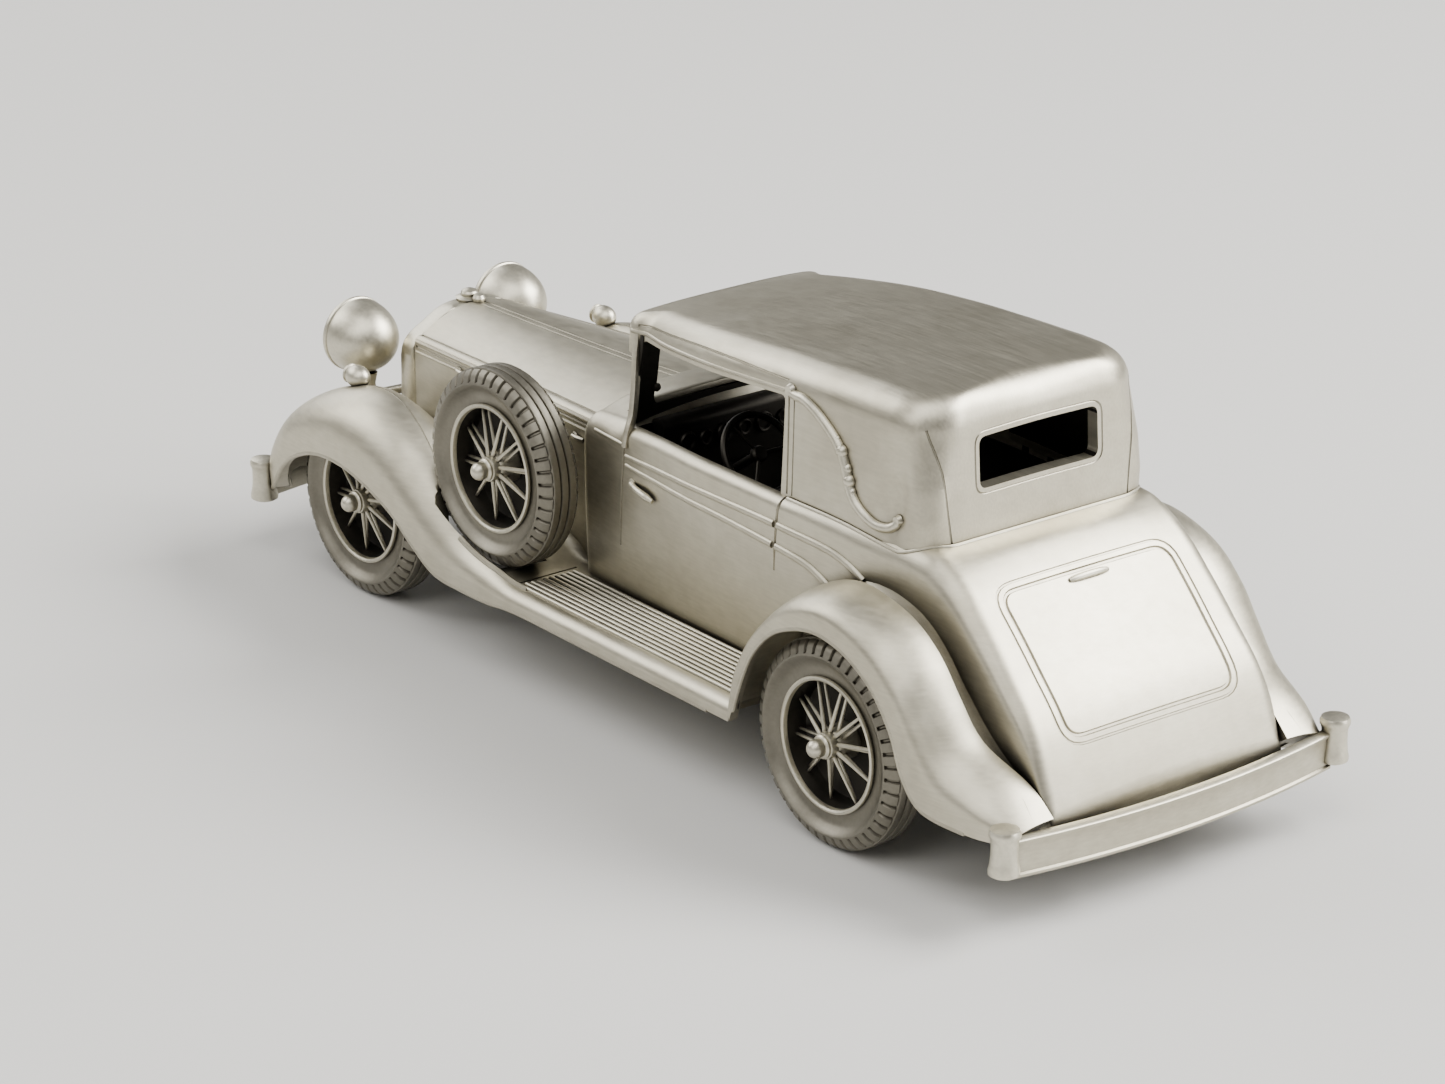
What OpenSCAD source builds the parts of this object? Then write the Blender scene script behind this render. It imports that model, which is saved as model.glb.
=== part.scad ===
// Pewter scale model of a 1930s touring car with a close-coupled two-door body, about 1:43.
// +X is the front of the car, +Y its left side and +Z is up. The origin is on the ground,
// under the middle of the overall length.

/* [Wheels and axles] */
// Distance between the axles
wheelbase = 68.6; // [68:0.1:69]
// Outer radius of a tyre
tyre_r = 9; // [8.8:0.05:9.1]
// Width of a tyre
tyre_w = 4.2; // [3.8:0.1:4.3]
// Outer radius of a wheel rim
rim_r = 5.75; // [5.5:0.05:6]
// Spokes in each of the two rows of a wheel
spokes = 9; // [7:1:10]
// Distance from the centre line to the middle of a front tyre
front_track_half = 15.3; // [15.1:0.1:15.5]
// Distance from the centre line to the middle of a rear tyre
rear_track_half = 16.7; // [16.5:0.1:16.8]
// Radius of an axle
axle_r = 0.8; // [0.7:0.05:0.9]
// Radial clearance of an axle in its ears
axle_gap = 0.05; // [0.02:0.01:0.1]

/* [Body] */
// Height of the seam between the body and the roof
seam_z = 26; // [25.6:0.1:26.2]
// Height of the top of the running boards
board_z = 9.3; // [9:0.1:9.6]
// Number of ribs on a running board
board_ribs = 10; // [6:1:12]

/* [Fittings] */
// Radius of a headlamp at its rim
lamp_r = 3.5; // [3.4:0.05:3.9]
// Height of the headlamp centres
lamp_z = 20.1; // [19.4:0.1:20.4]
// Distance of a headlamp from the centre line
lamp_y = 8.6; // [8:0.1:8.8]
// Gap between a spare wheel's well and its tyre
well_gap = 0.15; // [0.1:0.05:0.3]
// Radius of the steering wheel
steer_r = 3.9; // [3.5:0.1:4.1]

/* [Hidden] */
$fn = 48;

pewter = [0.66, 0.65, 0.60];
dark_pewter = [0.42, 0.41, 0.37];
bright_pewter = [0.80, 0.79, 0.74];
steel = [0.55, 0.55, 0.56];

rear_x = -30.5;
front_x = rear_x + wheelbase;
axle_z = tyre_r;
spare_x = 17.2;
spare_y = 15.7;
spare_z = 18.5;
plate_z0 = 5.4;
plate_z1 = 7;
floor_z0 = 11.2;
floor_z1 = 12.4;
ear_y = 7.6;
ear_w = 1.6;
screw_x = [-41, 1, 24];
screw_r = 1;
side_steps = 5;
arc_steps = 5;
roof_lean = 0.8;
post_r = 2.4;
thread_r = screw_r + 0.02;

// Outlines along the car, each a list of [x, value]
body_top = [
    [-51.8, 7.8], [-50.6, 10.7], [-49.2, 14], [-45.5, 18.2], [-42, 21.7], [-39.8, 23.7],
    [-37.6, 25.1], [-35.4, 25.9], [-33, 26], [3.6, 26], [5, 26.7], [8.4, 25.5]
];
body_half = [
    [-51.8, 12.5], [-50, 13], [-35, 13], [-26, 13.8], [-19, 14.3], [-8, 14.1], [0, 13.2],
    [5, 12], [8.4, 11]
];
body_foot = [[-51.8, 12.3], [-35, 12.6], [-26, 12.3], [-19, 11.6], [-8, 11.2], [8.4, 10.6]];
roof_top = [
    [-35.4, 26.4], [-34.9, 30], [-34.3, 34], [-33.6, 35.4], [-32.4, 36.5], [-30.6, 37.3],
    [-27, 37.9], [-20, 38], [-10, 37.4], [0, 36], [5.4, 35], [6.4, 34.5], [6.8, 33.8]
];
roof_half = [
    [-35.4, 11.2], [-34, 11.8], [-30, 12.3], [-26, 12.7], [-19.5, 13.5], [-10, 13.4], [0, 12.1],
    [4.5, 10.9], [6.4, 10.3], [6.8, 9.8]
];
wing_crest = [
    [-51.8, 9.8], [-49, 11.3], [-46, 13.4], [-43, 16.4], [-40, 19.9], [-36.5, 22.6], [-33, 23.2],
    [-29, 22.7], [-25, 20.8], [-22, 18], [-20.3, 15], [-19.3, 12], [-18.8, 9.3], [11.5, 9.3],
    [15.5, 10.2], [19.5, 11.4], [23.5, 13.4], [27.5, 15.9], [31, 18], [34.5, 19.4], [38, 19.6],
    [42, 18.8], [45.5, 17.3], [48.5, 15.3], [50.5, 13], [51.6, 11], [52.3, 8.4]
];
wing_side = [
    [-51.8, 17], [-48, 18.4], [-42, 19.3], [-36, 19.5], [46, 19.3], [49, 18.8], [51.3, 17.8],
    [52.3, 16.6]
];
wing_inner_z = [
    [-51.8, 9.4], [-48.7, 10], [-43, 14.4], [-38.7, 19], [-33.5, 21.6], [-29, 22], [-25, 20.4],
    [-22, 17.8], [-20.3, 14.8], [-19.3, 11.8], [-18.8, 9.3], [11.5, 9.3], [18, 11.4],
    [28, 13.4], [40, 13.8], [47, 12.6], [50.5, 10.4], [52.3, 8.2]
];
wing_inner_y = [
    [-51.8, 12.9], [-35, 12.9], [-26, 13.2], [-19, 12], [-8, 11.3], [8, 10.75], [10, 10.3],
    [42.6, 7.35], [44, 7.55], [47, 7.7], [52.3, 11.5]
];
bonnet_z0 = 7.05;
bonnet_side = [[8.4, 10.3], [43, 7.1]];
bonnet_ridge = [[8.4, 24.9], [20, 24.3], [43, 23.6]];

function smooth(table, x, d = 0.6) =
    (lookup(x - d, table) + 2 * lookup(x, table) + lookup(x + d, table)) / 4;
function span(a, b, count) = [for (i = [0:count]) a + (b - a) * i / count];
function mirrored(path) = [for (i = [len(path) - 1:-1:0]) [path[i].x, -path[i].y, path[i].z]];

// Left-hand side of a body section at x, from just above its flat bottom at z0 up to the crown:
// a flared side and a round corner.
function side_path(x, foot, half, z0, z1, corner, crown) = concat(
    [for (t = span(0, 1, side_steps))
        [x, foot + (half - foot) * sin(90 * t), z0 + 0.2 + (z1 - corner - z0 - 0.2) * t]],
    [for (a = span(18, 90, arc_steps))
        [x, half - corner + corner * cos(a), z1 - corner + corner * sin(a)]],
    [[x, half * 0.5, z1 + crown * 0.75]]
);
// A top path and a flat bottom under it, joined into one ring.
function ring_over(path, z0) =
    let (foot = path[0].y - 0.2)
    concat(path, [for (y = span(-foot, foot, len(path) - 1)) [path[0].x, y, z0]]);

// A solid through rings of equal length. Each ring is a top path and then its bottom path backwards.
module loft(rings) {
    n = len(rings[0]);
    last = len(rings) - 1;
    half = n / 2;
    points = [for (ring = rings) each ring];
    sides = [for (i = [0:last - 1], j = [0:n - 1])
        each [
            [i * n + j, (i + 1) * n + j, (i + 1) * n + (j + 1) % n],
            [i * n + j, (i + 1) * n + (j + 1) % n, i * n + (j + 1) % n]
        ]];
    first_cap = [for (j = [0:half - 2])
        each [[j, j + 1, n - 2 - j], [j, n - 2 - j, n - 1 - j]]];
    last_cap = [for (j = [0:half - 2])
        each [[last * n + j, last * n + n - 2 - j, last * n + j + 1],
              [last * n + j, last * n + n - 1 - j, last * n + n - 2 - j]]];
    polyhedron(points = points, faces = concat(sides, first_cap, last_cap));
}

// A cylinder along Y from y0 to y1.
module rod_y(r, y0, y1) {
    translate([0, y1, 0])
        rotate([90, 0, 0])
            cylinder(r = r, h = y1 - y0);
}

// A flat outline in the XZ plane, made solid from -half to +half in Y.
module slab_y(outline, half) {
    translate([0, half, 0])
        rotate([90, 0, 0])
            linear_extrude(2 * half)
                polygon(outline);
}

// A square with round corners, drawn from exact arcs.
module round_square(w, h, r) {
    square([w, h - 2 * r], center = true);
    square([w - 2 * r, h], center = true);
    for (sx = [-1, 1], sy = [-1, 1])
        translate([sx * (w / 2 - r), sy * (h / 2 - r)])
            circle(r = r);
}

module both_sides() {
    children();
    mirror([0, 1, 0])
        children();
}

// ---- Castings ----

function body_ring(x) =
    let (
        half = smooth(body_half, x),
        top = smooth(body_top, x),
        path = side_path(x, smooth(body_foot, x), half, plate_z1, top, 0.9, x < -35.5 || x > 5 ? 0.4 : 0)
    )
    ring_over(concat(path, mirrored(path)), plate_z1);

module body_outer() {
    loft([for (x = [-51.8, -51.2, -50.6, -49.9, -49.2, -47.5, -45.5, -43.7, -42, -40.8, -39.8, -38.7,
                    -37.6, -36.5, -35.4, -33, -29, -26, -22, -19, -13, -8, -4, 0, 3, 4, 5, 6.5, 8.4])
        body_ring(x)]);
}

module body_shell() {
    cabin = [[-33, 0], [-33, 10.6], [-27, 11.9], [-19, 12.7], [-8, 12.6], [0, 11.6], [3.6, 10.4],
             [3.6, 0]];
    color(pewter)
        difference() {
            body_outer();
            // cabin above the floor, open at the top
            translate([0, 0, 17])
                linear_extrude(12)
                    both_sides()
                        polygon(cabin);
            translate([-33, -10, floor_z1])
                cube([36, 20, 12]);
            // hollow tail, open below
            difference() {
                slab_y([[-47.6, 6], [-47.6, 13], [-40, 21], [-36.5, 23.6], [-34.6, 23.8], [-34.6, 6]], 11);
                translate([screw_x[0], 0, 0])
                    cylinder(r = post_r, h = 30);
            }
            // hollow under the floor
            difference() {
                translate([-35, -9.8, 6])
                    cube([41.6, 19.6, floor_z0 - 6]);
                translate([screw_x[1], 0, 0])
                    cylinder(r = post_r, h = 30);
            }
            for (i = [0, 1])
                translate([screw_x[i], 0, 6])
                    cylinder(r = thread_r, h = 5.2);
            // room for the rear axle, open below
            translate([rear_x - 1.4, -15, 6])
                cube([2.8, 30, axle_z + 1.4 - 6]);
        }
}

function bonnet_ring(x) =
    let (
        half = lookup(x, bonnet_side),
        ridge = lookup(x, bonnet_ridge),
        side = [
            [x, half + 0.1, bonnet_z0 + 0.1], [x, half + 0.1, 16], [x, half + 0.1, ridge - 2.6],
            [x, half - 0.1, ridge - 2], [x, half - 0.5, ridge - 1.5], [x, half * 0.8, ridge - 0.95],
            [x, half * 0.5, ridge - 0.45], [x, 0.3, ridge]
        ]
    )
    ring_over(concat(side, mirrored(side)), bonnet_z0);

module bonnet() {
    color(pewter)
        difference() {
            union() {
                difference() {
                    loft([for (x = [8.45, 20, 31, 42.9]) bonnet_ring(x)]);
                    slab_y([[10, 6], [10, 22.2], [41.4, 21.2], [41.4, 6]], 5.6);
                    // room for the ears of the base plate, and for the axle
                    translate([front_x - 2.6, -7.1, 6])
                        cube([5.2, 14.2, 5.3]);
                    translate([front_x - 1.4, -15, 6])
                        cube([2.8, 30, axle_z + 1.4 - 6]);
                }
                translate([screw_x[2], 0, plate_z1])
                    cylinder(r = post_r, h = 16);
            }
            translate([screw_x[2], 0, 6])
                cylinder(r = thread_r, h = 5.2);
        }
}

function roof_ring(x) =
    let (
        half = smooth(roof_half, x, 0.3),
        top = smooth(roof_top, x, 0.3),
        corner = min(2.6, (top - seam_z) * 0.5),
        path = side_path(x, half, half - roof_lean, seam_z, top - 0.7, corner, 0.7)
    )
    ring_over(concat(path, mirrored(path)), seam_z);

module roof_outer() {
    loft([for (x = [-35.4, -35.1, -34.8, -34.5, -34.2, -33.8, -33.3, -32.6, -31.7, -30.6, -29, -27,
                    -23, -19.5, -15, -10, -5, 0, 3, 5, 5.9, 6.4, 6.8])
        roof_ring(x)]);
}

module roof() {
    color(pewter)
        difference() {
            roof_outer();
            // side windows and windscreen opening
            slab_y([[-18.8, 25], [-18.8, 34.3], [4.6, 32.5], [9, 32.5], [9, 25]], 20);
            // inside of the cabin
            slab_y([[-33.2, 25], [-33.2, 33.6], [-30.6, 35.6], [-14, 36.2], [-5, 35.2], [4, 33.7],
                    [4, 25]], 9.6);
            slab_y([[-27, 25], [-27, 34.4], [-15, 34.6], [-1, 33.4], [-1, 25]], 11.4);
            // rear window
            translate([-38, 0, 32.1])
                rotate([90, 0, 90])
                    linear_extrude(8)
                        round_square(12.9, 4.4, 0.9);
        }
}

function wing_ring(x) =
    let (
        crest = smooth(wing_crest, x, 0.4),
        out = smooth(wing_side, x, 0.4),
        inner_y = smooth(wing_inner_y, x, 0.4),
        inner_z = min(crest, smooth(wing_inner_z, x, 0.4)),
        crest_y = inner_y + (out - inner_y) * 0.55,
        bottom = x > -19 && x < 12 ? 7.6 : (x < 0 ? 7.2 : 6.6),
        foot = max(bottom + 0.5, min(crest - 3.4, 12))
    )
    concat(
        [for (t = span(0, 1, 5))
            [x, inner_y + (crest_y - inner_y) * t, inner_z + (crest - inner_z) * sin(90 * t)]],
        [for (a = span(15, 75, 5))
            [x, crest_y + (out - crest_y) * pow(sin(a), 0.8), foot + (crest - foot) * pow(cos(a), 0.8)]],
        [[x, out, foot], [x, out, bottom + 0.25]],
        [[x, out - 0.25, bottom], [x, out - 0.6, bottom]],
        [for (i = [6:-1:1])
            [x, crest_y + (out - 1 - crest_y) * i / 6, bottom]],
        [for (t = span(1, 0, 5))
            [x, inner_y + (crest_y - inner_y) * t, bottom]]
    );

module wing_outer() {
    loft([for (x = [-51.8, -50.4, -49, -47.5, -46, -44.5, -43, -41.5, -40, -38.3, -36.5, -34.7, -33,
                    -31, -29, -27, -25, -23.5, -22, -21, -20.3, -19.8, -19.3, -18.8, -18.2, 11, 12, 15.5,
                    19.5, 23.5, 27.5, 31, 34.5, 38, 40, 42, 43.8, 45.5, 47, 48.5, 49.5, 50.5, 51.1,
                    51.6, 52, 52.3])
        wing_ring(x)]);
}

module wing() {
    color(pewter)
        difference() {
            wing_outer();
            // front wheel: a deep well inside, and a lower arch in the outer side
            translate([front_x, 0, axle_z])
                rod_y(tyre_r + 0.6, 12.3, 18.2);
            translate([front_x + 0.3, 0, -0.3])
                rod_y(13.4, 12.3, 22);
            // rear wheel arch
            translate([rear_x, 0, axle_z - 0.2])
                rod_y(tyre_r + 1.1, 13.7, 22);
            // room for the bumpers and their overriders at both tips
            translate([51.3, 5, 5])
                cube([3, 15, 3.4]);
            translate([52.4, 17.9, 5])
                cylinder(r = 1.4, h = 4.4);
            translate([-54.3, 5, 4.8])
                cube([3, 15, 3.7]);
            translate([-52.2, 18.2, 5])
                cylinder(r = 1.4, h = 4.8);
            // well for the spare wheel
            translate([spare_x, 0, spare_z])
                rod_y(tyre_r + well_gap, spare_y - tyre_w / 2 - well_gap, spare_y + tyre_w / 2 + 0.3);
            // room for the axles
            for (x = [front_x, rear_x])
                translate([x - 1.4, 5, 5])
                    cube([2.8, 10, axle_z + 1.4 - 5]);
            // grooves between the ribs of the running board
            for (i = [0:board_ribs])
                translate([-18, 11.9 + i * 0.62, board_z - 0.25])
                    cube([28.5, 0.25, 2]);
        }
}

module wing_left() {
    wing();
}

module wing_right() {
    mirror([0, 1, 0])
        wing();
}

module base_plate() {
    color(dark_pewter)
        difference() {
            union() {
                translate([-47, -10.4, plate_z0])
                    cube([55, 20.8, plate_z1 - plate_z0]);
                translate([8, -7.2, plate_z0])
                    cube([39, 14.4, plate_z1 - plate_z0]);
                for (x = [front_x, rear_x], side = [-1, 1])
                    translate([x - 2.2, side * (ear_y - ear_w) - ear_w / 2, plate_z0])
                        cube([4.4, ear_w, 10.9 - plate_z0]);
            }
            for (x = [front_x, rear_x])
                translate([x, 0, axle_z])
                    rod_y(axle_r + axle_gap, -12, 12);
            for (x = screw_x)
                translate([x, 0, plate_z0 - 1]) {
                    cylinder(r = screw_r + 0.15, h = 4);
                    cylinder(r = 2.05, h = 1.8);
                }
        }
}

module base_screws() {
    color(steel)
        for (x = screw_x)
            translate([x, 0, plate_z0 - 0.1])
                difference() {
                    union() {
                        cylinder(r = 1.9, h = 0.9);
                        cylinder(r = screw_r, h = 5.4);
                    }
                    translate([-1.4, -0.2, -0.1])
                        cube([2.8, 0.4, 0.5]);
                }
}

// ---- Front ----

// The radiator's outline across the car, from its foot on the base plate to its arched top.
module radiator_outline() {
    half = 7.4;
    shoulder_z = 20.4;
    shoulder_r = 1.6;
    top_z = 23.6;
    top_r = 19;
    translate([-half, bonnet_z0])
        square([2 * half, shoulder_z - bonnet_z0]);
    for (side = [-1, 1])
        translate([side * (half - shoulder_r), shoulder_z])
            circle(r = shoulder_r);
    intersection() {
        translate([-half + 0.3, 15])
            square([2 * half - 0.6, 15]);
        translate([0, top_z - top_r])
            circle(r = top_r);
    }
}

module radiator_shell() {
    core_half = 6.3;
    color(pewter)
        translate([42.95, 0, 0])
            rotate([90, 0, 90])
                difference() {
                    linear_extrude(2.3)
                        radiator_outline();
                    translate([0, 0, 0.8])
                        linear_extrude(3)
                            intersection() {
                                translate([-core_half, 11.4])
                                    square([2 * core_half, 10.8]);
                                translate([0, 22.5 - 19])
                                    circle(r = 19);
                            }
                }
}

module radiator_core() {
    color(dark_pewter)
        translate([43.75, 0, 0])
            difference() {
                translate([0, -6.2, 11.5])
                    cube([1.1, 12.4, 9.6]);
                for (i = [-8:8])
                    translate([0.6, i * 0.7 - 0.15, 11.3])
                        cube([2, 0.3, 10.2]);
            }
}

module radiator_cap() {
    color(bright_pewter)
        translate([44.2, 0, 23.55]) {
            cylinder(r = 1.05, h = 0.5);
            translate([0, 0, 0.5])
                cylinder(r = 0.75, h = 0.45);
            translate([0, 0, 1])
                sphere(r = 0.45);
        }
}

lamp_x = 50.2;
lamp_len = 4.7;

module headlamp() {
    shell = [for (t = span(0, 90, 12)) [lamp_r * cos(t), -lamp_len * sin(t)]];
    color(bright_pewter)
        translate([lamp_x, lamp_y, lamp_z]) {
            rotate([0, 90, 0]) {
                rotate_extrude()
                    polygon(concat([[0, 0]], shell));
                difference() {
                    cylinder(r = lamp_r + 0.12, h = 0.7);
                    translate([0, 0, 0.2])
                        cylinder(r = lamp_r - 0.5, h = 1);
                }
            }
            // stem down to the tie bar
            translate([-2, 0, -4.9])
                cylinder(r = 0.6, h = 2.6);
        }
}

module headlamp_left() {
    headlamp();
}

module headlamp_right() {
    mirror([0, 1, 0])
        headlamp();
}

module headlamp_lens() {
    r = lamp_r - 0.5;
    dome = [for (t = span(90, 0, 6)) [r * sin(t), 0.25 + 0.5 * cos(t)]];
    color(bright_pewter)
        translate([lamp_x + 0.2, lamp_y, lamp_z])
            rotate([0, 90, 0])
                rotate_extrude()
                    polygon(concat([[0, 0], [r, 0]], dome));
}

module headlamp_lens_left() {
    headlamp_lens();
}

module headlamp_lens_right() {
    mirror([0, 1, 0])
        headlamp_lens();
}

module headlamp_bar() {
    color(pewter) {
        translate([lamp_x - 2, 0, lamp_z - 5.35])
            rod_y(0.45, -10.2, 10.2);
        both_sides()
            translate([44, 10, lamp_z - 5.8])
                cube([5, 0.9, 0.9]);
    }
}

module sidelamp() {
    color(bright_pewter)
        translate([42, 14.2, 0]) {
            translate([0, 0, 17.8])
                cylinder(r = 0.5, h = 1.2);
            translate([0, 0, 19.4])
                rotate([0, 90, 0])
                    rotate_extrude()
                        polygon([for (t = span(-90, 90, 14)) [1.05 * cos(t), 1.4 * sin(t)]]);
        }
}

module sidelamp_left() {
    sidelamp();
}

module sidelamp_right() {
    mirror([0, 1, 0])
        sidelamp();
}

// ---- Bumpers ----

bumper_bow = 1.7;
bumper_half = 17.6;
bumper_sag_r = (bumper_half * bumper_half + bumper_bow * bumper_bow) / (2 * bumper_bow);

// A blade bowed outwards along +X; its ends lie at x = 0.
module bumper_blade(z0, z1) {
    translate([bumper_bow - bumper_sag_r, 0, z0])
        intersection() {
            difference() {
                cylinder(r = bumper_sag_r, h = z1 - z0, $fn = 180);
                translate([0, 0, -1])
                    cylinder(r = bumper_sag_r - 1.1, h = z1 - z0 + 2, $fn = 180);
            }
            translate([0, -bumper_half, -1])
                cube([2 * bumper_sag_r, 2 * bumper_half, z1 - z0 + 2]);
        }
}

module overrider(height) {
    cylinder(r = 1.3, h = 0.8);
    translate([0, 0, 0.8])
        cylinder(r = 1.12, h = height - 1.6);
    translate([0, 0, height - 0.8])
        cylinder(r = 1.3, h = 0.8);
}

module front_bumper() {
    color(pewter)
        translate([52.6, 0, 0])
            bumper_blade(5.5, 8.2);
}

module front_overriders() {
    color(pewter)
        both_sides()
            difference() {
                translate([52.4, 17.9, 5.1])
                    overrider(4.1);
                translate([52.6, 0, 0])
                    bumper_blade(5.45, 8.25);
            }
}

module front_bumper_irons() {
    color(dark_pewter)
        both_sides()
            difference() {
                translate([45.3, 5.8, plate_z1])
                    cube([9, 1.2, 1]);
                translate([52.6, 0, 0])
                    bumper_blade(5.45, 8.25);
                translate([53.4, 0, 0])
                    cube([5, 20, 20]);
            }
}

module rear_bumper() {
    color(pewter)
        translate([-52.6, 0, 0])
            mirror([1, 0, 0])
                bumper_blade(5, 8.3);
}

module rear_overriders() {
    color(pewter)
        both_sides()
            difference() {
                translate([-52.2, 18.2, 5.5])
                    overrider(4.1);
                translate([-52.6, 0, 0])
                    mirror([1, 0, 0])
                        bumper_blade(4.9, 8.35);
            }
}

module rear_bumper_irons() {
    color(dark_pewter)
        both_sides()
            difference() {
                translate([-53.9, 5.8, 5.6])
                    cube([6.85, 1.2, 1]);
                translate([-52.6, 0, 0])
                    mirror([1, 0, 0])
                        bumper_blade(4.9, 8.35);
            }
}

// ---- Cabin ----

module windscreen_frame() {
    color(pewter)
        translate([5.1, 0, 26.8])
            rotate([0, -6, 0])
                rotate([90, 0, 90])
                    linear_extrude(0.9)
                        difference() {
                            translate([0, 2.85])
                                round_square(20.6, 5.7, 0.6);
                            translate([0, 2.8])
                                round_square(19, 4.5, 0.8);
                        }
}

module dashboard() {
    color(dark_pewter) {
        translate([1.9, -10, 20.4])
            cube([1.7, 20, 5.2]);
        for (y = [-5.6, -3.4, -1.1, 1.1, 3.4, 5.6])
            translate([2.1, y, 23.5])
                rotate([0, -90, 0])
                    cylinder(r = 0.85, h = 0.7);
    }
}

steer_turn = [0, 125, 0];
steer_pos = [-5.6, 5.4, 24];
steer_hub = 0.7;

module steering_column() {
    color(dark_pewter)
        translate(steer_pos)
            rotate(steer_turn)
                translate([0, 0, steer_hub / 2])
                    cylinder(r = 0.4, h = 10.8);
}

module steering_wheel() {
    color(dark_pewter)
        translate(steer_pos)
            rotate(steer_turn) {
                rotate_extrude()
                    translate([steer_r - 0.35, 0])
                        circle(r = 0.35);
                cylinder(r = 0.8, h = steer_hub, center = true);
                for (a = [0:120:240])
                    rotate([0, 0, a + 30])
                        translate([0.4, -0.2, -0.15])
                            cube([steer_r - 0.8, 0.4, 0.3]);
            }
}

// A bench w wide: its cushion runs forwards from x = 0 and its back leans rearwards.
module seat(w, back_h) {
    slab_y([[0, 0], [7, 0], [7.4, 3.4], [6.8, 4], [1.6, 3.6], [0.4, back_h], [-1.2, back_h], [-1.6, back_h - 0.8]],
        w / 2);
}

module front_seats() {
    color(dark_pewter)
        both_sides()
            translate([-14.5, 5, floor_z1])
                seat(8.6, 10.6);
}

module rear_seat() {
    color(dark_pewter)
        translate([-30.6, 0, floor_z1])
            seat(19.2, 11);
}

// ---- Trim ----

landau_route = [[-21, 35], [-23.4, 34.6], [-25.2, 32.9], [-26.2, 30.4], [-27.5, 28.2], [-29.6, 27.1],
                [-31.6, 27.6]];

iron_r = 0.34;

// The roof's side at a place (x, z), and a point there with a landau iron's rod just on it.
function roof_y(x, z) = smooth(roof_half, x, 0.3) - roof_lean * sin(10 * (z - seam_z));
function on_roof(p) = [p.x, roof_y(p.x, p.y) + 0.8 * iron_r, p.y];

// A round rod from one point to another, with a slightly larger ball at its start.
module rod_between(from, to, r) {
    run = to - from;
    translate(from) {
        sphere(r = 1.2 * r);
        rotate([0, acos(run.z / norm(run)), atan2(run.y, run.x)])
            cylinder(r = r, h = norm(run));
    }
}

module landau_iron() {
    color(bright_pewter)
        for (i = [0:len(landau_route) - 2])
            rod_between(on_roof(landau_route[i]), on_roof(landau_route[i + 1]), iron_r);
}

module landau_iron_left() {
    landau_iron();
}

module landau_iron_right() {
    mirror([0, 1, 0])
        landau_iron();
}

module door_handle() {
    color(bright_pewter)
        translate([-2.5, 13.85, 21.3])
            rotate([90, 0, -4]) {
                linear_extrude(0.4, center = true)
                    round_square(2.4, 0.7, 0.3);
                translate([0.7, 0, 0])
                    cylinder(r = 0.3, h = 0.6);
            }
}

module door_handle_left() {
    door_handle();
}

module door_handle_right() {
    mirror([0, 1, 0])
        door_handle();
}

module boot_handle() {
    color(bright_pewter)
        translate([-41.3, 0, 22.6])
            rotate([0, -42, 0])
                linear_extrude(0.5)
                    round_square(0.8, 4, 0.35);
}

module bonnet_catches() {
    color(bright_pewter)
        both_sides()
            for (x = [14.2, 34.2])
                translate([x, lookup(x, bonnet_side) + 0.3, 20.6])
                    rotate([90, 0, 0])
                        linear_extrude(0.4, center = true)
                            round_square(1.6, 0.6, 0.25);
}

// ---- Wheels: each is drawn about the Y axis with its outer face towards +Y ----

module tyre() {
    color([0.50, 0.49, 0.45])
        rotate([90, 0, 0])
            rotate_extrude($fn = 96)
                difference() {
                    union() {
                        translate([tyre_r - tyre_w / 2, 0])
                            circle(r = tyre_w / 2);
                        translate([rim_r, -tyre_w / 2 + 0.25])
                            square([tyre_r - rim_r - 0.6, tyre_w - 0.5]);
                        translate([tyre_r - 1.5, -1.5])
                            square([1.5, 3]);
                    }
                    translate([rim_r - 5, -5])
                        square([5, 10]);
                }
}

module spoked_wheel() {
    rim_w = tyre_w - 0.8;
    hub_out = tyre_w / 2 - 0.1;
    color(bright_pewter)
        rotate([-90, 0, 0])
            difference() {
                union() {
                    difference() {
                        translate([0, 0, -rim_w / 2])
                            cylinder(r = rim_r, h = rim_w + 0.25, $fn = 96);
                        translate([0, 0, -rim_w])
                            cylinder(r = rim_r - 0.55, h = 2 * rim_w, $fn = 96);
                    }
                    translate([0, 0, -tyre_w / 2])
                        cylinder(r = 1.35, h = tyre_w / 2 + hub_out);
                    for (row = [0, 1], i = [0:spokes - 1])
                        rotate([0, 0, (i + row / 2) * 360 / spokes])
                            translate([0.9, 0, row ? hub_out - 0.5 : -1.3])
                                rotate([0, row ? 90 + 14 : 90 - 10, 0])
                                    cylinder(r = 0.17, h = rim_r - 1.15, $fn = 16);
                }
                translate([0, 0, -5])
                    cylinder(r = axle_r, h = 5 + hub_out - 0.6);
            }
}

module hub_cap() {
    color(bright_pewter)
        translate([0, tyre_w / 2 - 0.1, 0])
            rotate([-90, 0, 0]) {
                cylinder(r = 1.0, h = 0.8);
                translate([0, 0, 0.8])
                    intersection() {
                        sphere(r = 0.85);
                        cylinder(r = 1, h = 2);
                    }
            }
}

module at_wheel(x, y, side) {
    translate([x, side * y, axle_z])
        mirror([0, side < 0 ? 1 : 0, 0])
            children();
}

module at_spare(side) {
    translate([spare_x, side * spare_y, spare_z])
        mirror([0, side < 0 ? 1 : 0, 0])
            children();
}

module axle(x, half) {
    color(steel)
        translate([x, 0, axle_z])
            rod_y(axle_r, -half, half);
}

axle_end = tyre_w / 2 - 0.7;

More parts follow.
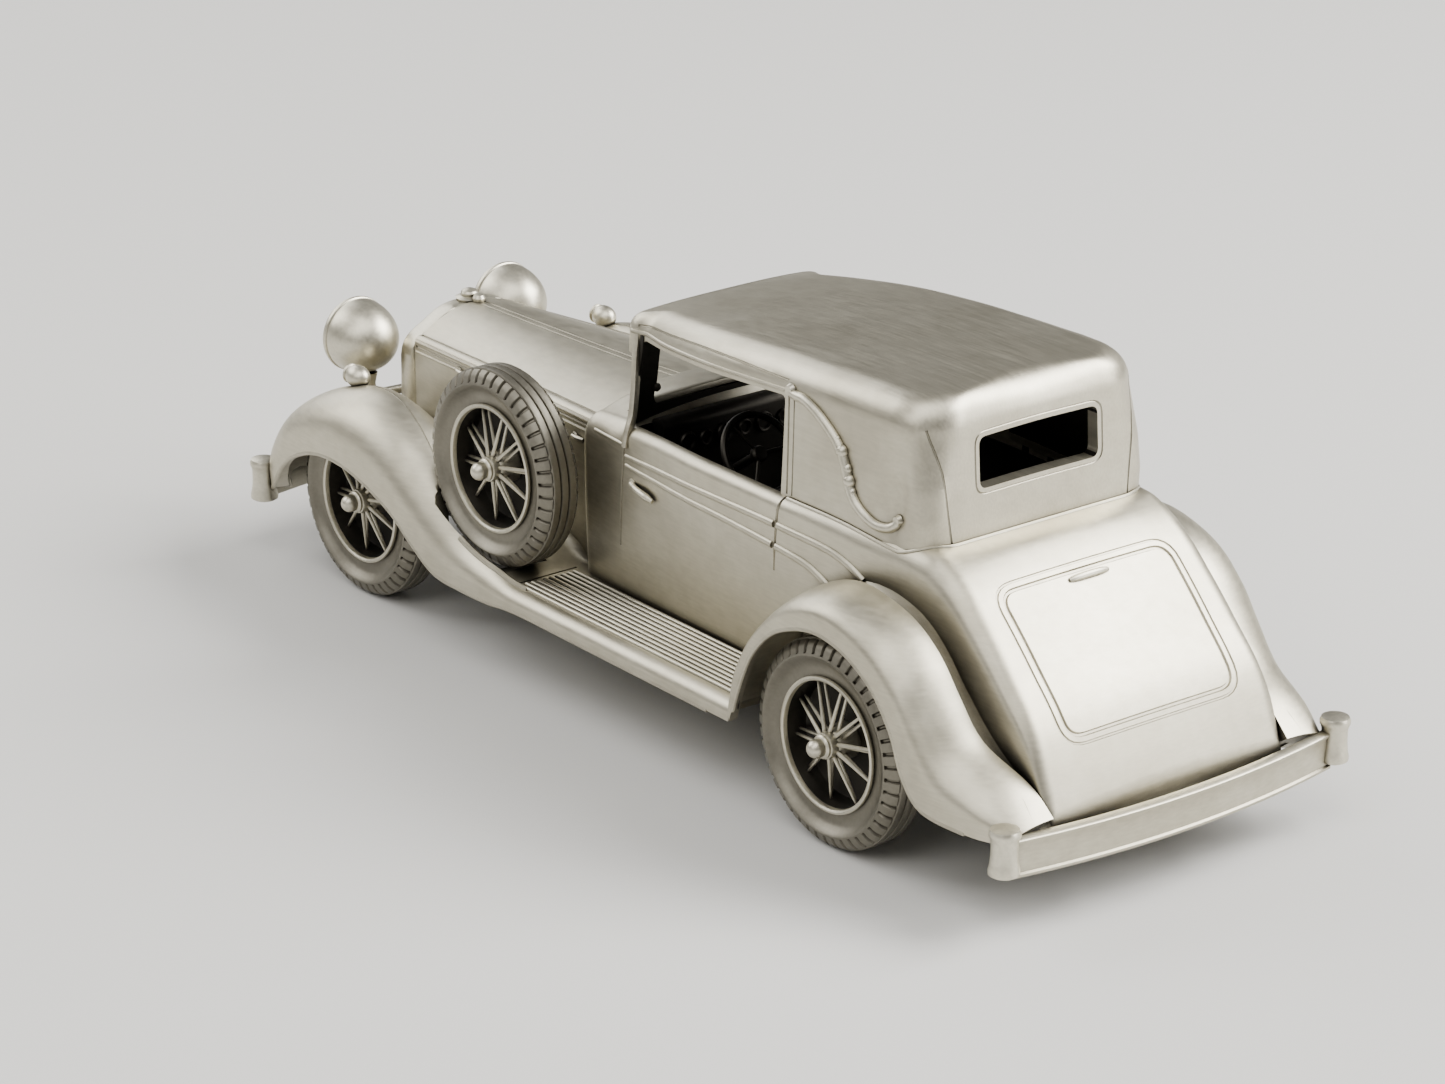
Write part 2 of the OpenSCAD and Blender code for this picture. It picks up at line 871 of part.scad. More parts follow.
base_plate();
base_screws();
body_shell();
bonnet();
roof();
wing_left();
wing_right();
radiator_shell();
radiator_core();
radiator_cap();
windscreen_frame();
dashboard();
steering_column();
steering_wheel();
front_seats();
rear_seat();
headlamp_left();
headlamp_right();
headlamp_lens_left();
headlamp_lens_right();
headlamp_bar();
sidelamp_left();
sidelamp_right();
front_bumper();
front_overriders();
front_bumper_irons();
rear_bumper();
rear_overriders();
rear_bumper_irons();
landau_iron_left();
landau_iron_right();
door_handle_left();
door_handle_right();
boot_handle();
bonnet_catches();
at_spare(1) tyre();  // spare_tyre_left
at_spare(1) spoked_wheel();  // spare_wheel_left
at_spare(1) hub_cap();  // spare_cap_left
at_spare(-1) tyre();  // spare_tyre_right
at_spare(-1) spoked_wheel();  // spare_wheel_right
at_spare(-1) hub_cap();  // spare_cap_right
axle(front_x, front_track_half + axle_end);  // front_axle
axle(rear_x, rear_track_half + axle_end);  // rear_axle
at_wheel(front_x, front_track_half, 1) tyre();  // tyre_front_left
at_wheel(front_x, front_track_half, 1) spoked_wheel();  // wheel_front_left
at_wheel(front_x, front_track_half, 1) hub_cap();  // cap_front_left
at_wheel(front_x, front_track_half, -1) tyre();  // tyre_front_right
at_wheel(front_x, front_track_half, -1) spoked_wheel();  // wheel_front_right
at_wheel(front_x, front_track_half, -1) hub_cap();  // cap_front_right
at_wheel(rear_x, rear_track_half, 1) tyre();  // tyre_rear_left
at_wheel(rear_x, rear_track_half, 1) spoked_wheel();  // wheel_rear_left
at_wheel(rear_x, rear_track_half, 1) hub_cap();  // cap_rear_left
at_wheel(rear_x, rear_track_half, -1) tyre();  // tyre_rear_right
at_wheel(rear_x, rear_track_half, -1) spoked_wheel();  // wheel_rear_right
at_wheel(rear_x, rear_track_half, -1) hub_cap();  // cap_rear_right
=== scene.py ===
"""Looks of a cast pewter model car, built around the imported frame.

Every casting is a finished mesh: bodywork is skinned through outlines taken at stations along the car,
lines are engraved into it and mouldings are laid on it. Lengths are millimetres in the row frame (+X front,
+Y left, +Z up) until a piece is made, which scales it to metres.
"""

import math

import bmesh
import bpy
import numpy as np
from mathutils import Matrix, Vector
from mathutils.bvhtree import BVHTree


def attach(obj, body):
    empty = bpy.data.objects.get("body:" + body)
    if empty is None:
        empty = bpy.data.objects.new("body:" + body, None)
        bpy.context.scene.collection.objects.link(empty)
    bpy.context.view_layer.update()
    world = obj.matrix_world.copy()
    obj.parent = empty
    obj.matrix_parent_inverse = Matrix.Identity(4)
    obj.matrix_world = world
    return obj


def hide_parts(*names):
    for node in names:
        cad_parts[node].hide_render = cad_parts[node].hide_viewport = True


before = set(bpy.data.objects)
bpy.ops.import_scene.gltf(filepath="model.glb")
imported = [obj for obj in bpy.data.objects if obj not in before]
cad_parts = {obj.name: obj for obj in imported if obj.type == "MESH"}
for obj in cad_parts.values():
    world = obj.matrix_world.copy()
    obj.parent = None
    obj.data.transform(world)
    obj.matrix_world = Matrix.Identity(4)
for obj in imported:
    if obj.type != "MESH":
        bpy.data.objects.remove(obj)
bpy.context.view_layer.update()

MM = 0.001


# ---- Lines and surfaces ----

def curve(table):
    """A smooth function through (x, value) points, which never overshoots them."""
    xs, ys = (np.array(column, float) for column in zip(*table))
    step = np.diff(xs)
    slope = np.diff(ys) / step
    tangent = np.concatenate([slope[:1], np.zeros(len(xs) - 2), slope[-1:]])
    for i in range(1, len(xs) - 1):
        if slope[i - 1] * slope[i] > 0:
            a, b = 2 * step[i] + step[i - 1], step[i] + 2 * step[i - 1]
            tangent[i] = (a + b) / (a / slope[i - 1] + b / slope[i])

    def at(x):
        x = np.clip(x, xs[0], xs[-1])
        i = np.clip(np.searchsorted(xs, x, side="right") - 1, 0, len(xs) - 2)
        t = (x - xs[i]) / step[i]
        ends = (1 + 2 * t) * (1 - t) ** 2 * ys[i] + t * t * (3 - 2 * t) * ys[i + 1]
        return ends + step[i] * (t * (1 - t) ** 2 * tangent[i] - t * t * (1 - t) * tangent[i + 1])
    return at


def spline(points, per_span):
    """Rows of numbers on a smooth line through the given rows."""
    p = np.array(points, float)
    p = np.vstack([2 * p[0] - p[1], p, 2 * p[-1] - p[-2]])
    t = np.linspace(0, 1, per_span, endpoint=False)[:, None]
    spans = []
    for a, b, c, d in zip(p, p[1:], p[2:], p[3:]):
        bend = (2 * a - 5 * b + 4 * c - d) * t ** 2 + (3 * b - a - 3 * c + d) * t ** 3
        spans.append(0.5 * (2 * b + (c - a) * t + bend))
    return np.vstack(spans + [p[-2:-1]])


def arc(centre, radius, start, end, count):
    """Points (u, v) on an arc, in degrees."""
    a = np.radians(np.linspace(start, end, count))
    return np.stack([centre[0] + radius * np.cos(a), centre[1] + radius * np.sin(a)], 1)


def join(*parts):
    """Several (vertices, faces) parts as one."""
    verts, faces, start = [], [], 0
    for v, f in parts:
        verts.append(v)
        faces += [tuple(i + start for i in face) for face in f]
        start += len(v)
    return np.vstack(verts), faces


def mirrored(part):
    """The same part on the other side of the car."""
    return part[0] * (1, -1, 1), [tuple(reversed(face)) for face in part[1]]


def both_sides(part):
    """The part and its mirror image as one."""
    return join(part, mirrored(part))


def moved(part, offset):
    return part[0] + np.array(offset, float), part[1]


def skin(rows, around=True, along=False, caps=True):
    """A surface through rows of equal length. around closes each row, and along joins the last row
    to the first. caps closes the two ends."""
    rows = np.asarray(rows, float)
    n, m = rows.shape[:2]
    faces = [(i * m + j, i * m + (j + 1) % m, (i + 1) % n * m + (j + 1) % m, (i + 1) % n * m + j)
             for i in range(n if along else n - 1) for j in range(m if around else m - 1)]
    if caps and around and not along:
        faces += [tuple(range(m - 1, -1, -1)), tuple(range((n - 1) * m, n * m))]
    return rows.reshape(-1, 3), faces


def lathe(profile, axis="y", centre=(0, 0, 0), segments=64):
    """A profile of (radius, along) turned about an axis."""
    r, w = np.array(profile, float).T
    rows = []
    for a in np.linspace(0, 2 * math.pi, segments, endpoint=False):
        c, s = r * math.cos(a), r * math.sin(a)
        rows.append(np.stack({"x": (w, c, s), "y": (c, w, s), "z": (c, s, w)}[axis], 1))
    return moved(skin(rows, around=False, along=True), centre)


def sweep(path, section, closed=False):
    """A section of (side, up) points carried along a path without twisting. There may be one section
    for each point of the path."""
    path = np.array(path, float)
    ahead = np.roll(path, -1, 0) - np.roll(path, 1, 0)
    if not closed:
        ahead[0], ahead[-1] = path[1] - path[0], path[-1] - path[-2]
    ahead /= np.linalg.norm(ahead, axis=1)[:, None] + 1e-12
    start = (0, 0, 1) if abs(ahead[0][2]) < 0.8 else (0, 1, 0)
    side = np.cross(start, ahead[0])
    rows = []
    for i, (p, d) in enumerate(zip(path, ahead)):
        side = side - d * side.dot(d)
        side /= np.linalg.norm(side)
        shape = np.asarray(section[i] if np.ndim(section) == 3 else section, float)
        rows.append(p + shape[:, :1] * side + shape[:, 1:] * np.cross(d, side))
    return skin(rows, along=closed)


def tube(path, radius, sides, closed=False):
    """A round rod along a path. radius may be one number for each point."""
    circle = arc((0, 0), 1, 0, 360, sides + 1)[:-1]
    radii = np.broadcast_to(radius, len(path))
    return sweep(path, circle[None] * radii[:, None, None], closed)


def rounded(path, radius, steps):
    """A closed polyline with its corners rounded."""
    p = np.array(path, float)
    out = []
    for i in range(len(p)):
        before, after = p[i - 1] - p[i], p[(i + 1) % len(p)] - p[i]
        reach = min(radius, 0.49 * np.linalg.norm(before), 0.49 * np.linalg.norm(after))
        a = p[i] + before / np.linalg.norm(before) * reach
        b = p[i] + after / np.linalg.norm(after) * reach
        t = np.linspace(0, 1, steps)[:, None]
        out.append((1 - t) ** 2 * a + 2 * t * (1 - t) * p[i] + t * t * b)
    return np.vstack(out)


def finely(path, gap=0.4, closed=False):
    """The same polyline with points no further apart than gap."""
    p = np.array(path, float)
    if closed:
        p = np.vstack([p, p[:1]])
    out = [p[:1]]
    for a, b in zip(p, p[1:]):
        n = max(1, math.ceil(np.linalg.norm(b - a) / gap))
        out.append(a + (b - a) * (np.arange(1, n + 1) / n)[:, None])
    out = np.vstack(out)
    return out[:-1] if closed else out


def block(low, high):
    """A closed box, for cutting."""
    (x0, y0, z0), (x1, y1, z1) = low, high
    ring = [(x0, y0), (x1, y0), (x1, y1), (x0, y1)]
    return skin([[(x, y, z) for x, y in ring] for z in (z0, z1)])


def slab(outline, ys):
    """An (x, z) outline carried across the car through the given ys."""
    return skin([[(x, y, z) for x, z in outline] for y in ys])


class Target:
    """A part that lines and mouldings are laid on."""

    REACH = 40

    def __init__(self, part):
        self.tree = BVHTree.FromPolygons([tuple(v) for v in part[0]], part[1])

    def drape(self, points, direction, sink=0.0):
        """The points carried along a direction until they meet the surface, then sunk along it."""
        way = Vector(direction).normalized()
        out = []
        for p in np.asarray(points, float):
            hit = self.tree.ray_cast(Vector(p) - way * self.REACH, way)[0]
            if hit is not None:
                out.append(hit + way * sink)
        return np.array(out)

    def depth(self, point):
        """How far a point is from the surface."""
        return self.tree.find_nearest(point)[3]


# ---- Pieces ----

def mesh_of(part, name):
    """A part as a clean mesh with its normals outwards."""
    mesh = bpy.data.meshes.new(name)
    mesh.from_pydata([tuple(v) for v in part[0]], [], part[1])
    bm = bmesh.new()
    bm.from_mesh(mesh)
    bmesh.ops.remove_doubles(bm, verts=bm.verts, dist=1e-4)
    bmesh.ops.dissolve_degenerate(bm, edges=bm.edges, dist=1e-5)
    bmesh.ops.recalc_face_normals(bm, faces=bm.faces)
    bm.to_mesh(mesh)
    bm.free()
    return mesh


def added(name, data):
    """A new object in the scene."""
    obj = bpy.data.objects.new(name, data)
    bpy.context.scene.collection.objects.link(obj)
    return obj


def carve(obj, part):
    """Cuts a part out of an object."""
    tool = added("tool", mesh_of(part, "tool"))
    cut = obj.modifiers.new("cut", "BOOLEAN")
    cut.operation = "DIFFERENCE"
    cut.solver = "MANIFOLD"
    cut.object = tool
    bpy.context.view_layer.update()
    result = bpy.data.meshes.new_from_object(obj.evaluated_get(bpy.context.evaluated_depsgraph_get()))
    obj.modifiers.clear()
    obj.data = result
    bpy.data.objects.remove(tool)


def piece(name, part, slot, nodes, body="root", cuts=(), sharp=32, dark=None, bevel=0.0):
    """One finished piece in metres, riding on its body in place of its CAD nodes.
    dark(centre) picks the faces that take the nearly black finish painted as shade, and edges over sharp
    degrees stay crisp.
    The roof's finish is pewter with its streaks another way."""
    obj = added(name, mesh_of(part, name))
    for cut in cuts:
        carve(obj, cut)
    if bevel:
        soften = obj.modifiers.new("soften", "BEVEL")
        soften.width = bevel * MM
        soften.segments = 3
        soften.limit_method = "ANGLE"
        soften.angle_limit = math.radians(38)
    mesh = obj.data
    mesh.materials.clear()
    mesh.materials.append(MATERIALS[slot])
    # Slot 1 is the nearly black finish, painted shade for the faces that dark picks.
    mesh.materials.append(MATERIALS["dark_pewter"])
    for face in mesh.polygons:
        face.material_index = 1 if dark and dark(face.center) else 0
    mesh.transform(Matrix.Scale(MM, 4))
    mesh.polygons.foreach_set("use_smooth", [True] * len(mesh.polygons))
    mesh.set_sharp_from_angle(angle=math.radians(sharp))
    if cuts or bevel:
        even = obj.modifiers.new("even", "WEIGHTED_NORMAL")
        even.keep_sharp = True
        even.weight = 80
    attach(obj, body)
    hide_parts(*nodes)


# ---- Finishes ----

def metal(name, light, shade, patina, roughness, grain, streak=(1, 1, 1), reach=1.6, bump=0.02):
    """Cast metal: a satin, faintly streaked surface, with dark patina held in the recesses.
    grain is the size of the surface's mottling in millimetres and streak stretches the brush marks.
    reach is how far a recess darkens and bump how deep the grain is, both in millimetres."""
    material = bpy.data.materials.new(name)
    material.use_nodes = True
    nodes, links = material.node_tree.nodes, material.node_tree.links
    shader = nodes["Principled BSDF"]
    shader.inputs["Metallic"].default_value = 1.0

    def add(kind, **values):
        node = nodes.new("ShaderNode" + kind)
        for key, value in values.items():
            setattr(node, key, value)
        return node

    def noise(scale, detail, stretch=(1, 1, 1)):
        place = add("Mapping")
        place.inputs["Scale"].default_value = [1 / MM / s for s in stretch]
        links.new(coords.outputs["Object"], place.inputs["Vector"])
        texture = add("TexNoise")
        texture.inputs["Scale"].default_value = scale
        texture.inputs["Detail"].default_value = detail
        links.new(place.outputs["Vector"], texture.inputs["Vector"])
        return texture.outputs["Fac"]

    def ramp(source, low, high, dark, bright):
        node = add("ValToRGB")
        node.color_ramp.elements[0].position, node.color_ramp.elements[1].position = low, high
        node.color_ramp.elements[0].color = (*dark, 1)
        node.color_ramp.elements[1].color = (*bright, 1)
        links.new(source, node.inputs["Fac"])
        return node.outputs["Color"]

    def mix(kind, factor, a, b):
        node = add("Mix", data_type="RGBA", blend_type=kind)
        for source, key in ((factor, "Factor"), (a, "A"), (b, "B")):
            socket = node.inputs[key]
            if isinstance(source, (int, float)):
                socket.default_value = source
            elif isinstance(source, tuple):
                socket.default_value = (*source, 1)
            else:
                links.new(source, socket)
        return node.outputs["Result"]

    coords = add("TexCoord")
    clouds = noise(0.12, 3)
    mottle = noise(1 / grain, 5)
    brushed = noise(3.2, 3, streak)
    recess = add("AmbientOcclusion")
    recess.samples = 8
    recess.inputs["Distance"].default_value = reach * MM
    tone = mix("MIX", ramp(clouds, 0.3, 0.72, (0, 0, 0), (1, 1, 1)), shade, light)
    tone = mix("MULTIPLY", 0.35, tone, ramp(mottle, 0.3, 0.6, (0.8, 0.79, 0.76), (1, 1, 1)))
    tone = mix("MULTIPLY", 0.6, tone, ramp(brushed, 0.35, 0.65, (0.84, 0.84, 0.83), (1, 1, 1)))
    held = ramp(recess.outputs["AO"], 0.3, 0.84, (1, 1, 1), (0, 0, 0))
    links.new(mix("MIX", held, tone, patina), shader.inputs["Base Color"])

    gloss = add("MapRange")
    gloss.inputs["To Min"].default_value = roughness - 0.06
    gloss.inputs["To Max"].default_value = roughness + 0.08
    links.new(brushed, gloss.inputs["Value"])
    links.new(gloss.outputs["Result"], shader.inputs["Roughness"])

    height = add("Math", operation="MULTIPLY_ADD")
    links.new(brushed, height.inputs[0])
    height.inputs[1].default_value = 0.8
    links.new(mottle, height.inputs[2])
    relief = add("Bump")
    relief.inputs["Strength"].default_value = 0.3
    relief.inputs["Distance"].default_value = bump * MM
    links.new(height.outputs["Value"], relief.inputs["Height"])
    links.new(relief.outputs["Normal"], shader.inputs["Normal"])
    return material


PATINA = (0.07, 0.063, 0.048)
NEARLY_BLACK = (0.012, 0.011, 0.01)
PEWTER = (0.61, 0.575, 0.47)
EVEN = (1, 1, 1)
MATERIALS = {name: metal(name, *values) for name, values in {
    "pewter": (PEWTER, (0.54, 0.505, 0.405), PATINA, 0.42, 1.2, (6, 3, 0.7), 1.7),
    "roof_pewter": (PEWTER, (0.51, 0.475, 0.38), PATINA, 0.4, 1.2, (14, 0.6, 1), 1.4, 0.03),
    "bright_pewter": ((0.71, 0.675, 0.565), (0.63, 0.595, 0.485), PATINA, 0.4, 0.9, EVEN, 0.6, 0.008),
    # A nearly black pewter: painted shade for the depths of the cabin, the faces behind the glass, spokes
    # and grille, and the parts under the car, over the dark patina they hold.
    "dark_pewter": ((0.05, 0.046, 0.04), (0.026, 0.024, 0.021), NEARLY_BLACK, 0.46, 0.7),
    "tyre_pewter": ((0.27, 0.254, 0.21), (0.19, 0.177, 0.145), PATINA, 0.46, 0.6, EVEN, 0.55),
    "steel": ((0.50, 0.50, 0.50), (0.40, 0.40, 0.40), PATINA, 0.3, 0.8, (1, 4, 1)),
}.items()}


# ---- Body casting: outlines along the car ----

# The top of the base plate, the cabin's floor, the axles, and the scuttle's front with its rounding.
PLATE_Z = 7.02
FLOOR_Z = 12.4
REAR_AXLE, FRONT_AXLE, AXLE_Z = -30.5, 38.1, 9.0
AXLE_ROOM = 1.4
TAIL_X = -51.8
NOSE_X, NOSE_R = 12.0, 1.6
ACROSS = (0, -1, 0)
DOWN = (0, 0, -1)
body_top = curve([(-51.8, 7.7), (-50.6, 10.9), (-49.2, 13.9), (-45.5, 18.2), (-42, 21.75), (-39.8, 23.75),
                  (-37.6, 25.15), (-35.4, 25.95), (-33, 26.05), (-19, 26), (-8, 25.85), (1.8, 25.35),
                  (6, 24.95), (9.2, 24.5), (12, 24)])
body_half = curve([(-51.8, 12.6), (-50, 12.95), (-35, 13), (-26, 13.7), (-19, 14.2), (-8, 14), (0, 13.1),
                   (4, 12.6), (9, 11.85), (12, 11.35)])
body_foot = curve([(-51.8, 12.4), (-35, 12.6), (-26, 12.3), (-19, 11.6), (-8, 11.2), (4, 11.3),
                   (12, 10.95)])
body_corner = curve([(-51.8, 1.1), (-46, 1.7), (-36, 2.1), (-30, 1.9), (-20, 1.1), (3.6, 1.1), (5.2, 2.0),
                     (12, 2.0)])
body_crown = curve([(-51.8, 0.5), (-38, 0.5), (-35.5, 0), (3.4, 0), (5, 1.6), (9, 1.6), (12, 1.45)])


def side_y(x, z):
    """Half-width of the body's flared side."""
    share = np.clip((z - PLATE_Z) / (body_top(x) - body_corner(x) - PLATE_Z), 0, 1)
    return body_foot(x) + (body_half(x) - body_foot(x)) * np.sin(share * math.pi / 2)


def body_ring(x, inset=0.0):
    """The body's outline across the car at one station."""
    top, half = body_top(x) - inset, body_half(x) - inset
    corner = min(body_corner(x), 0.45 * (top - PLATE_Z))
    z = np.linspace(PLATE_Z, top - corner, 22)
    side = np.stack([side_y(x, z + inset * (z > PLATE_Z)) - inset, z], 1)
    edge = arc((half - corner, top - corner), corner, 12, 90, 9)
    y = np.linspace(half - corner, 0, 10)[1:]
    roof = np.stack([y, top + body_crown(x) * (1 - (y / (half - corner)) ** 2)], 1)
    left = np.vstack([side, edge, roof])
    foot = side[0, 0]
    base = np.stack([np.linspace(-foot, foot, 14)[1:-1], np.full(12, PLATE_Z)], 1)
    return [(x, y, z) for y, z in np.vstack([left, left[-2::-1] * (-1, 1), base])]


def body_part():
    """The body from its tail to the scuttle, whose front edge is rounded over."""
    rings = [body_ring(x) for x in np.linspace(TAIL_X, NOSE_X - NOSE_R, 130)]
    for a in np.radians(np.linspace(12, 90, 8)):
        ring = np.array(body_ring(NOSE_X - NOSE_R, NOSE_R * (1 - math.cos(a))))
        ring[:, 0] = NOSE_X - NOSE_R + NOSE_R * math.sin(a)
        rings.append(ring)
    return skin(rings)


def cabin_hollow():
    """The space inside the body, open at its top."""
    wall = 1.15
    rings = []
    for x in np.linspace(-33, 3.4, 44):
        left = [(side_y(x, z) - wall, z) for z in (FLOOR_Z, 14, 16, 18, 20, 22, 24)]
        left.append((body_half(x) - wall, 30))
        rings.append([(x, y, z) for y, z in left + [(-y, z) for y, z in reversed(left)]])
    return skin(rings)


def tail_path(points):
    """(distance down the tail, y) turned to places over it, for draping."""
    xs = np.linspace(-37, -51.7, 200)
    run = np.concatenate([[0], np.cumsum(np.hypot(np.diff(xs), np.diff(body_top(xs))))])
    return [(np.interp(s, run, xs), y, np.interp(s, run, body_top(xs))) for s, y in points]


def axle_slot(x):
    """Room in the underside for an axle and its ears."""
    return block((x - AXLE_ROOM, -15, 6), (x + AXLE_ROOM, 15, AXLE_Z + AXLE_ROOM))


body = body_part()
on_body = Target(body)


def lid_line(inset, radius):
    """A line round the boot lid, to engrave. inset takes it inside the lid's edge."""
    start, end, half = 3.5 + inset, 17.9 - inset, 9.75 - inset
    box = [(start, -half), (start, half), (end, half), (end, -half)]
    route = finely(rounded(box, 2.3 - inset, 7), 0.5, closed=True)
    return tube(on_body.drape(tail_path(route), (0.7, 0, -0.72)), radius, 6, closed=True)


# Two raised bands run along the door and sweep down behind it onto the rear wing.
upper_band = curve([(-28.9, 21.7), (-27.2, 22.6), (-25, 23.2), (-21.5, 23.5), (-18.4, 23.6), (-8.6, 23.4),
                    (4, 22.6)])
lower_band = curve([(-25.6, 19.3), (-24.3, 20.3), (-21.7, 21.3), (-18.1, 21.65), (-8.6, 21.95), (4, 21.75)])
scuttle_band = curve([(4.2, 23.5), (9.4, 23.15)])


def band(level, x0, x1, r0, r1):
    """A raised band along the side at a height of level(x), tapering from radius r0 to r1."""
    xs = np.linspace(x0, x1, int(abs(x1 - x0) / 0.4) + 2)
    path = on_body.drape([(x, 0, level(x)) for x in xs], ACROSS, 0.1)
    return tube(path, np.linspace(r0, r1, len(path)), 12)


def shut_line(x, z0, z1, radius):
    """A line down the side from z0 to z1, to engrave. Its foot is further forward, and fades out."""
    lean, fade = 0.13, 2.5
    path = on_body.drape([(x + lean * (z0 - z), 0, z) for z in np.linspace(z0, z1, 16)], ACROSS)
    return tube(path, np.interp(path[:, 2], [z1, z1 + fade], [0.5 * radius, radius]), 6)


# The faces deep inside the cabin, which take the nearly black finish as painted shade.
def inside_cabin(centre):
    return on_body.depth(centre) > 0.8 and centre.z > FLOOR_Z - 0.2


shut_x, hinge_x = -18.6, 3.7
door_lines = both_sides(join(shut_line(shut_x - 0.35, 25.98, 19.3, 0.17),
                             shut_line(hinge_x, 25.4, 13.8, 0.16)))
bands = both_sides(join(*[band(*values) for values in (
    (upper_band, -28.9, shut_x - 0.25, 0.4, 0.36), (upper_band, shut_x + 0.25, hinge_x, 0.36, 0.28),
    (lower_band, -25.6, shut_x + 0.05, 0.42, 0.36), (lower_band, shut_x + 0.55, hinge_x, 0.36, 0.26),
    (scuttle_band, 4.3, 9.4, 0.22, 0.22))]))
piece("body_shell_cast", body, "pewter", ["body_shell"],
      cuts=[cabin_hollow(), axle_slot(REAR_AXLE), lid_line(0, 0.14), lid_line(0.7, 0.2), door_lines],
      dark=inside_cabin)
piece("body_mouldings", bands, "pewter", ["body_shell"])


# ---- Bonnet ----

bonnet_side = curve([(8.4, 10.3), (43, 7.1)])
bonnet_edge = curve([(8.4, 23.1), (25, 22.4), (43, 21.4)])
bonnet_ridge = curve([(8.4, 25.15), (20, 24.45), (43, 23.65)])


def bonnet_ring(x):
    """The bonnet's outline across the car at one station: upright sides, a shoulder and a ridged top."""
    half, edge, ridge = bonnet_side(x), bonnet_edge(x), bonnet_ridge(x)
    side = [(half, z) for z in np.linspace(PLATE_Z, edge - 0.35, 10)]
    shoulder = [(half - 0.05, edge - 0.18), (half - 0.16, edge), (half - 0.42, edge + 0.16)]
    y = np.linspace(half - 0.9, 0, 16)
    top = [(v, ridge - (ridge - edge - 0.3) * (v / (half - 0.9)) ** 2.1 - 0.12 * v / half) for v in y]
    left = np.array(side + shoulder + top)
    base = np.stack([np.linspace(-half, half, 10)[1:-1], np.full(8, PLATE_Z)], 1)
    return [(x, y, z) for y, z in np.vstack([left, left[-2::-1] * (-1, 1), base])]


bonnet = skin([bonnet_ring(x) for x in np.linspace(8.3, 42.95, 60)])
on_bonnet = Target(bonnet)
bonnet_run = np.linspace(8.8, 42.7, 60)


def top_line(share, radius):
    """A line along the bonnet's top, at a share of its half-width from the middle."""
    points = [(x, bonnet_side(x) * share, 0) for x in bonnet_run]
    return tube(on_bonnet.drape(points, DOWN), radius, 6)


def shoulder_line(below, radius, sink=0.0):
    """A line along the bonnet's side, below its shoulder."""
    points = [(x, 0, bonnet_edge(x) - below) for x in bonnet_run]
    return tube(on_bonnet.drape(points, ACROSS, sink), radius, 6)


hinge_lines = join(top_line(0.045, 0.09), top_line(-0.045, 0.09))
piece("bonnet_cast", bonnet, "pewter", ["bonnet"],
      cuts=[hinge_lines, both_sides(top_line(0.9, 0.12)), both_sides(shoulder_line(0.75, 0.12)),
            axle_slot(FRONT_AXLE)])
piece("bonnet_mouldings", both_sides(join(shoulder_line(0.25, 0.2, 0.02), shoulder_line(1.25, 0.16, 0.04))),
      "bright_pewter", ["bonnet"])


# ---- Roof ----

roof_half = curve([(-36, 12.5), (-33, 12.65), (-30, 12.8), (-26, 13), (-19.5, 13.4), (-10, 13.3), (0, 12.1),
                   (4.5, 11), (7, 10.4)])
roof_crown = curve([(-36, 37.75), (-31, 37.95), (-27, 37.9), (-20, 37.75), (-10, 37.05), (0, 35.8),
                    (5.4, 34.85), (7, 34.4)])
ROOF_REAR, ROOF_FRONT, ROOF_FOOT = -35.5, 6.8, 25.1
FRONT_CORNER, REAR_CORNER = 1.4, 3.7
# The point of roof_plan that is in the middle of its rear corner.
CORNER_POINT = 18


def roof_plan(inset):
    """Half of the roof's outline from above, as (x, y), from the middle of its rear to the middle of its
    front."""
    rear, front = ROOF_REAR + inset, ROOF_FRONT - inset
    corner = max(0.6, REAR_CORNER - 0.6 * inset)
    xs = np.linspace(rear + corner, front - FRONT_CORNER, 66)
    side = np.stack([xs, roof_half(xs) - inset], 1)
    width = side[0, 1]
    back = np.stack([np.full(14, rear), np.linspace(0, width - corner, 14)], 1)
    bend = arc((rear + corner, width - corner), corner, 180, 90, 11)[1:-1]
    nose_y = side[-1, 1] - FRONT_CORNER
    nose = arc((front - FRONT_CORNER, nose_y), FRONT_CORNER, 90, 0, 7)[1:]
    tip = np.stack([np.full(10, front), np.linspace(nose_y, 0, 11)[1:]], 1)
    return np.vstack([back, bend, side, nose, tip])


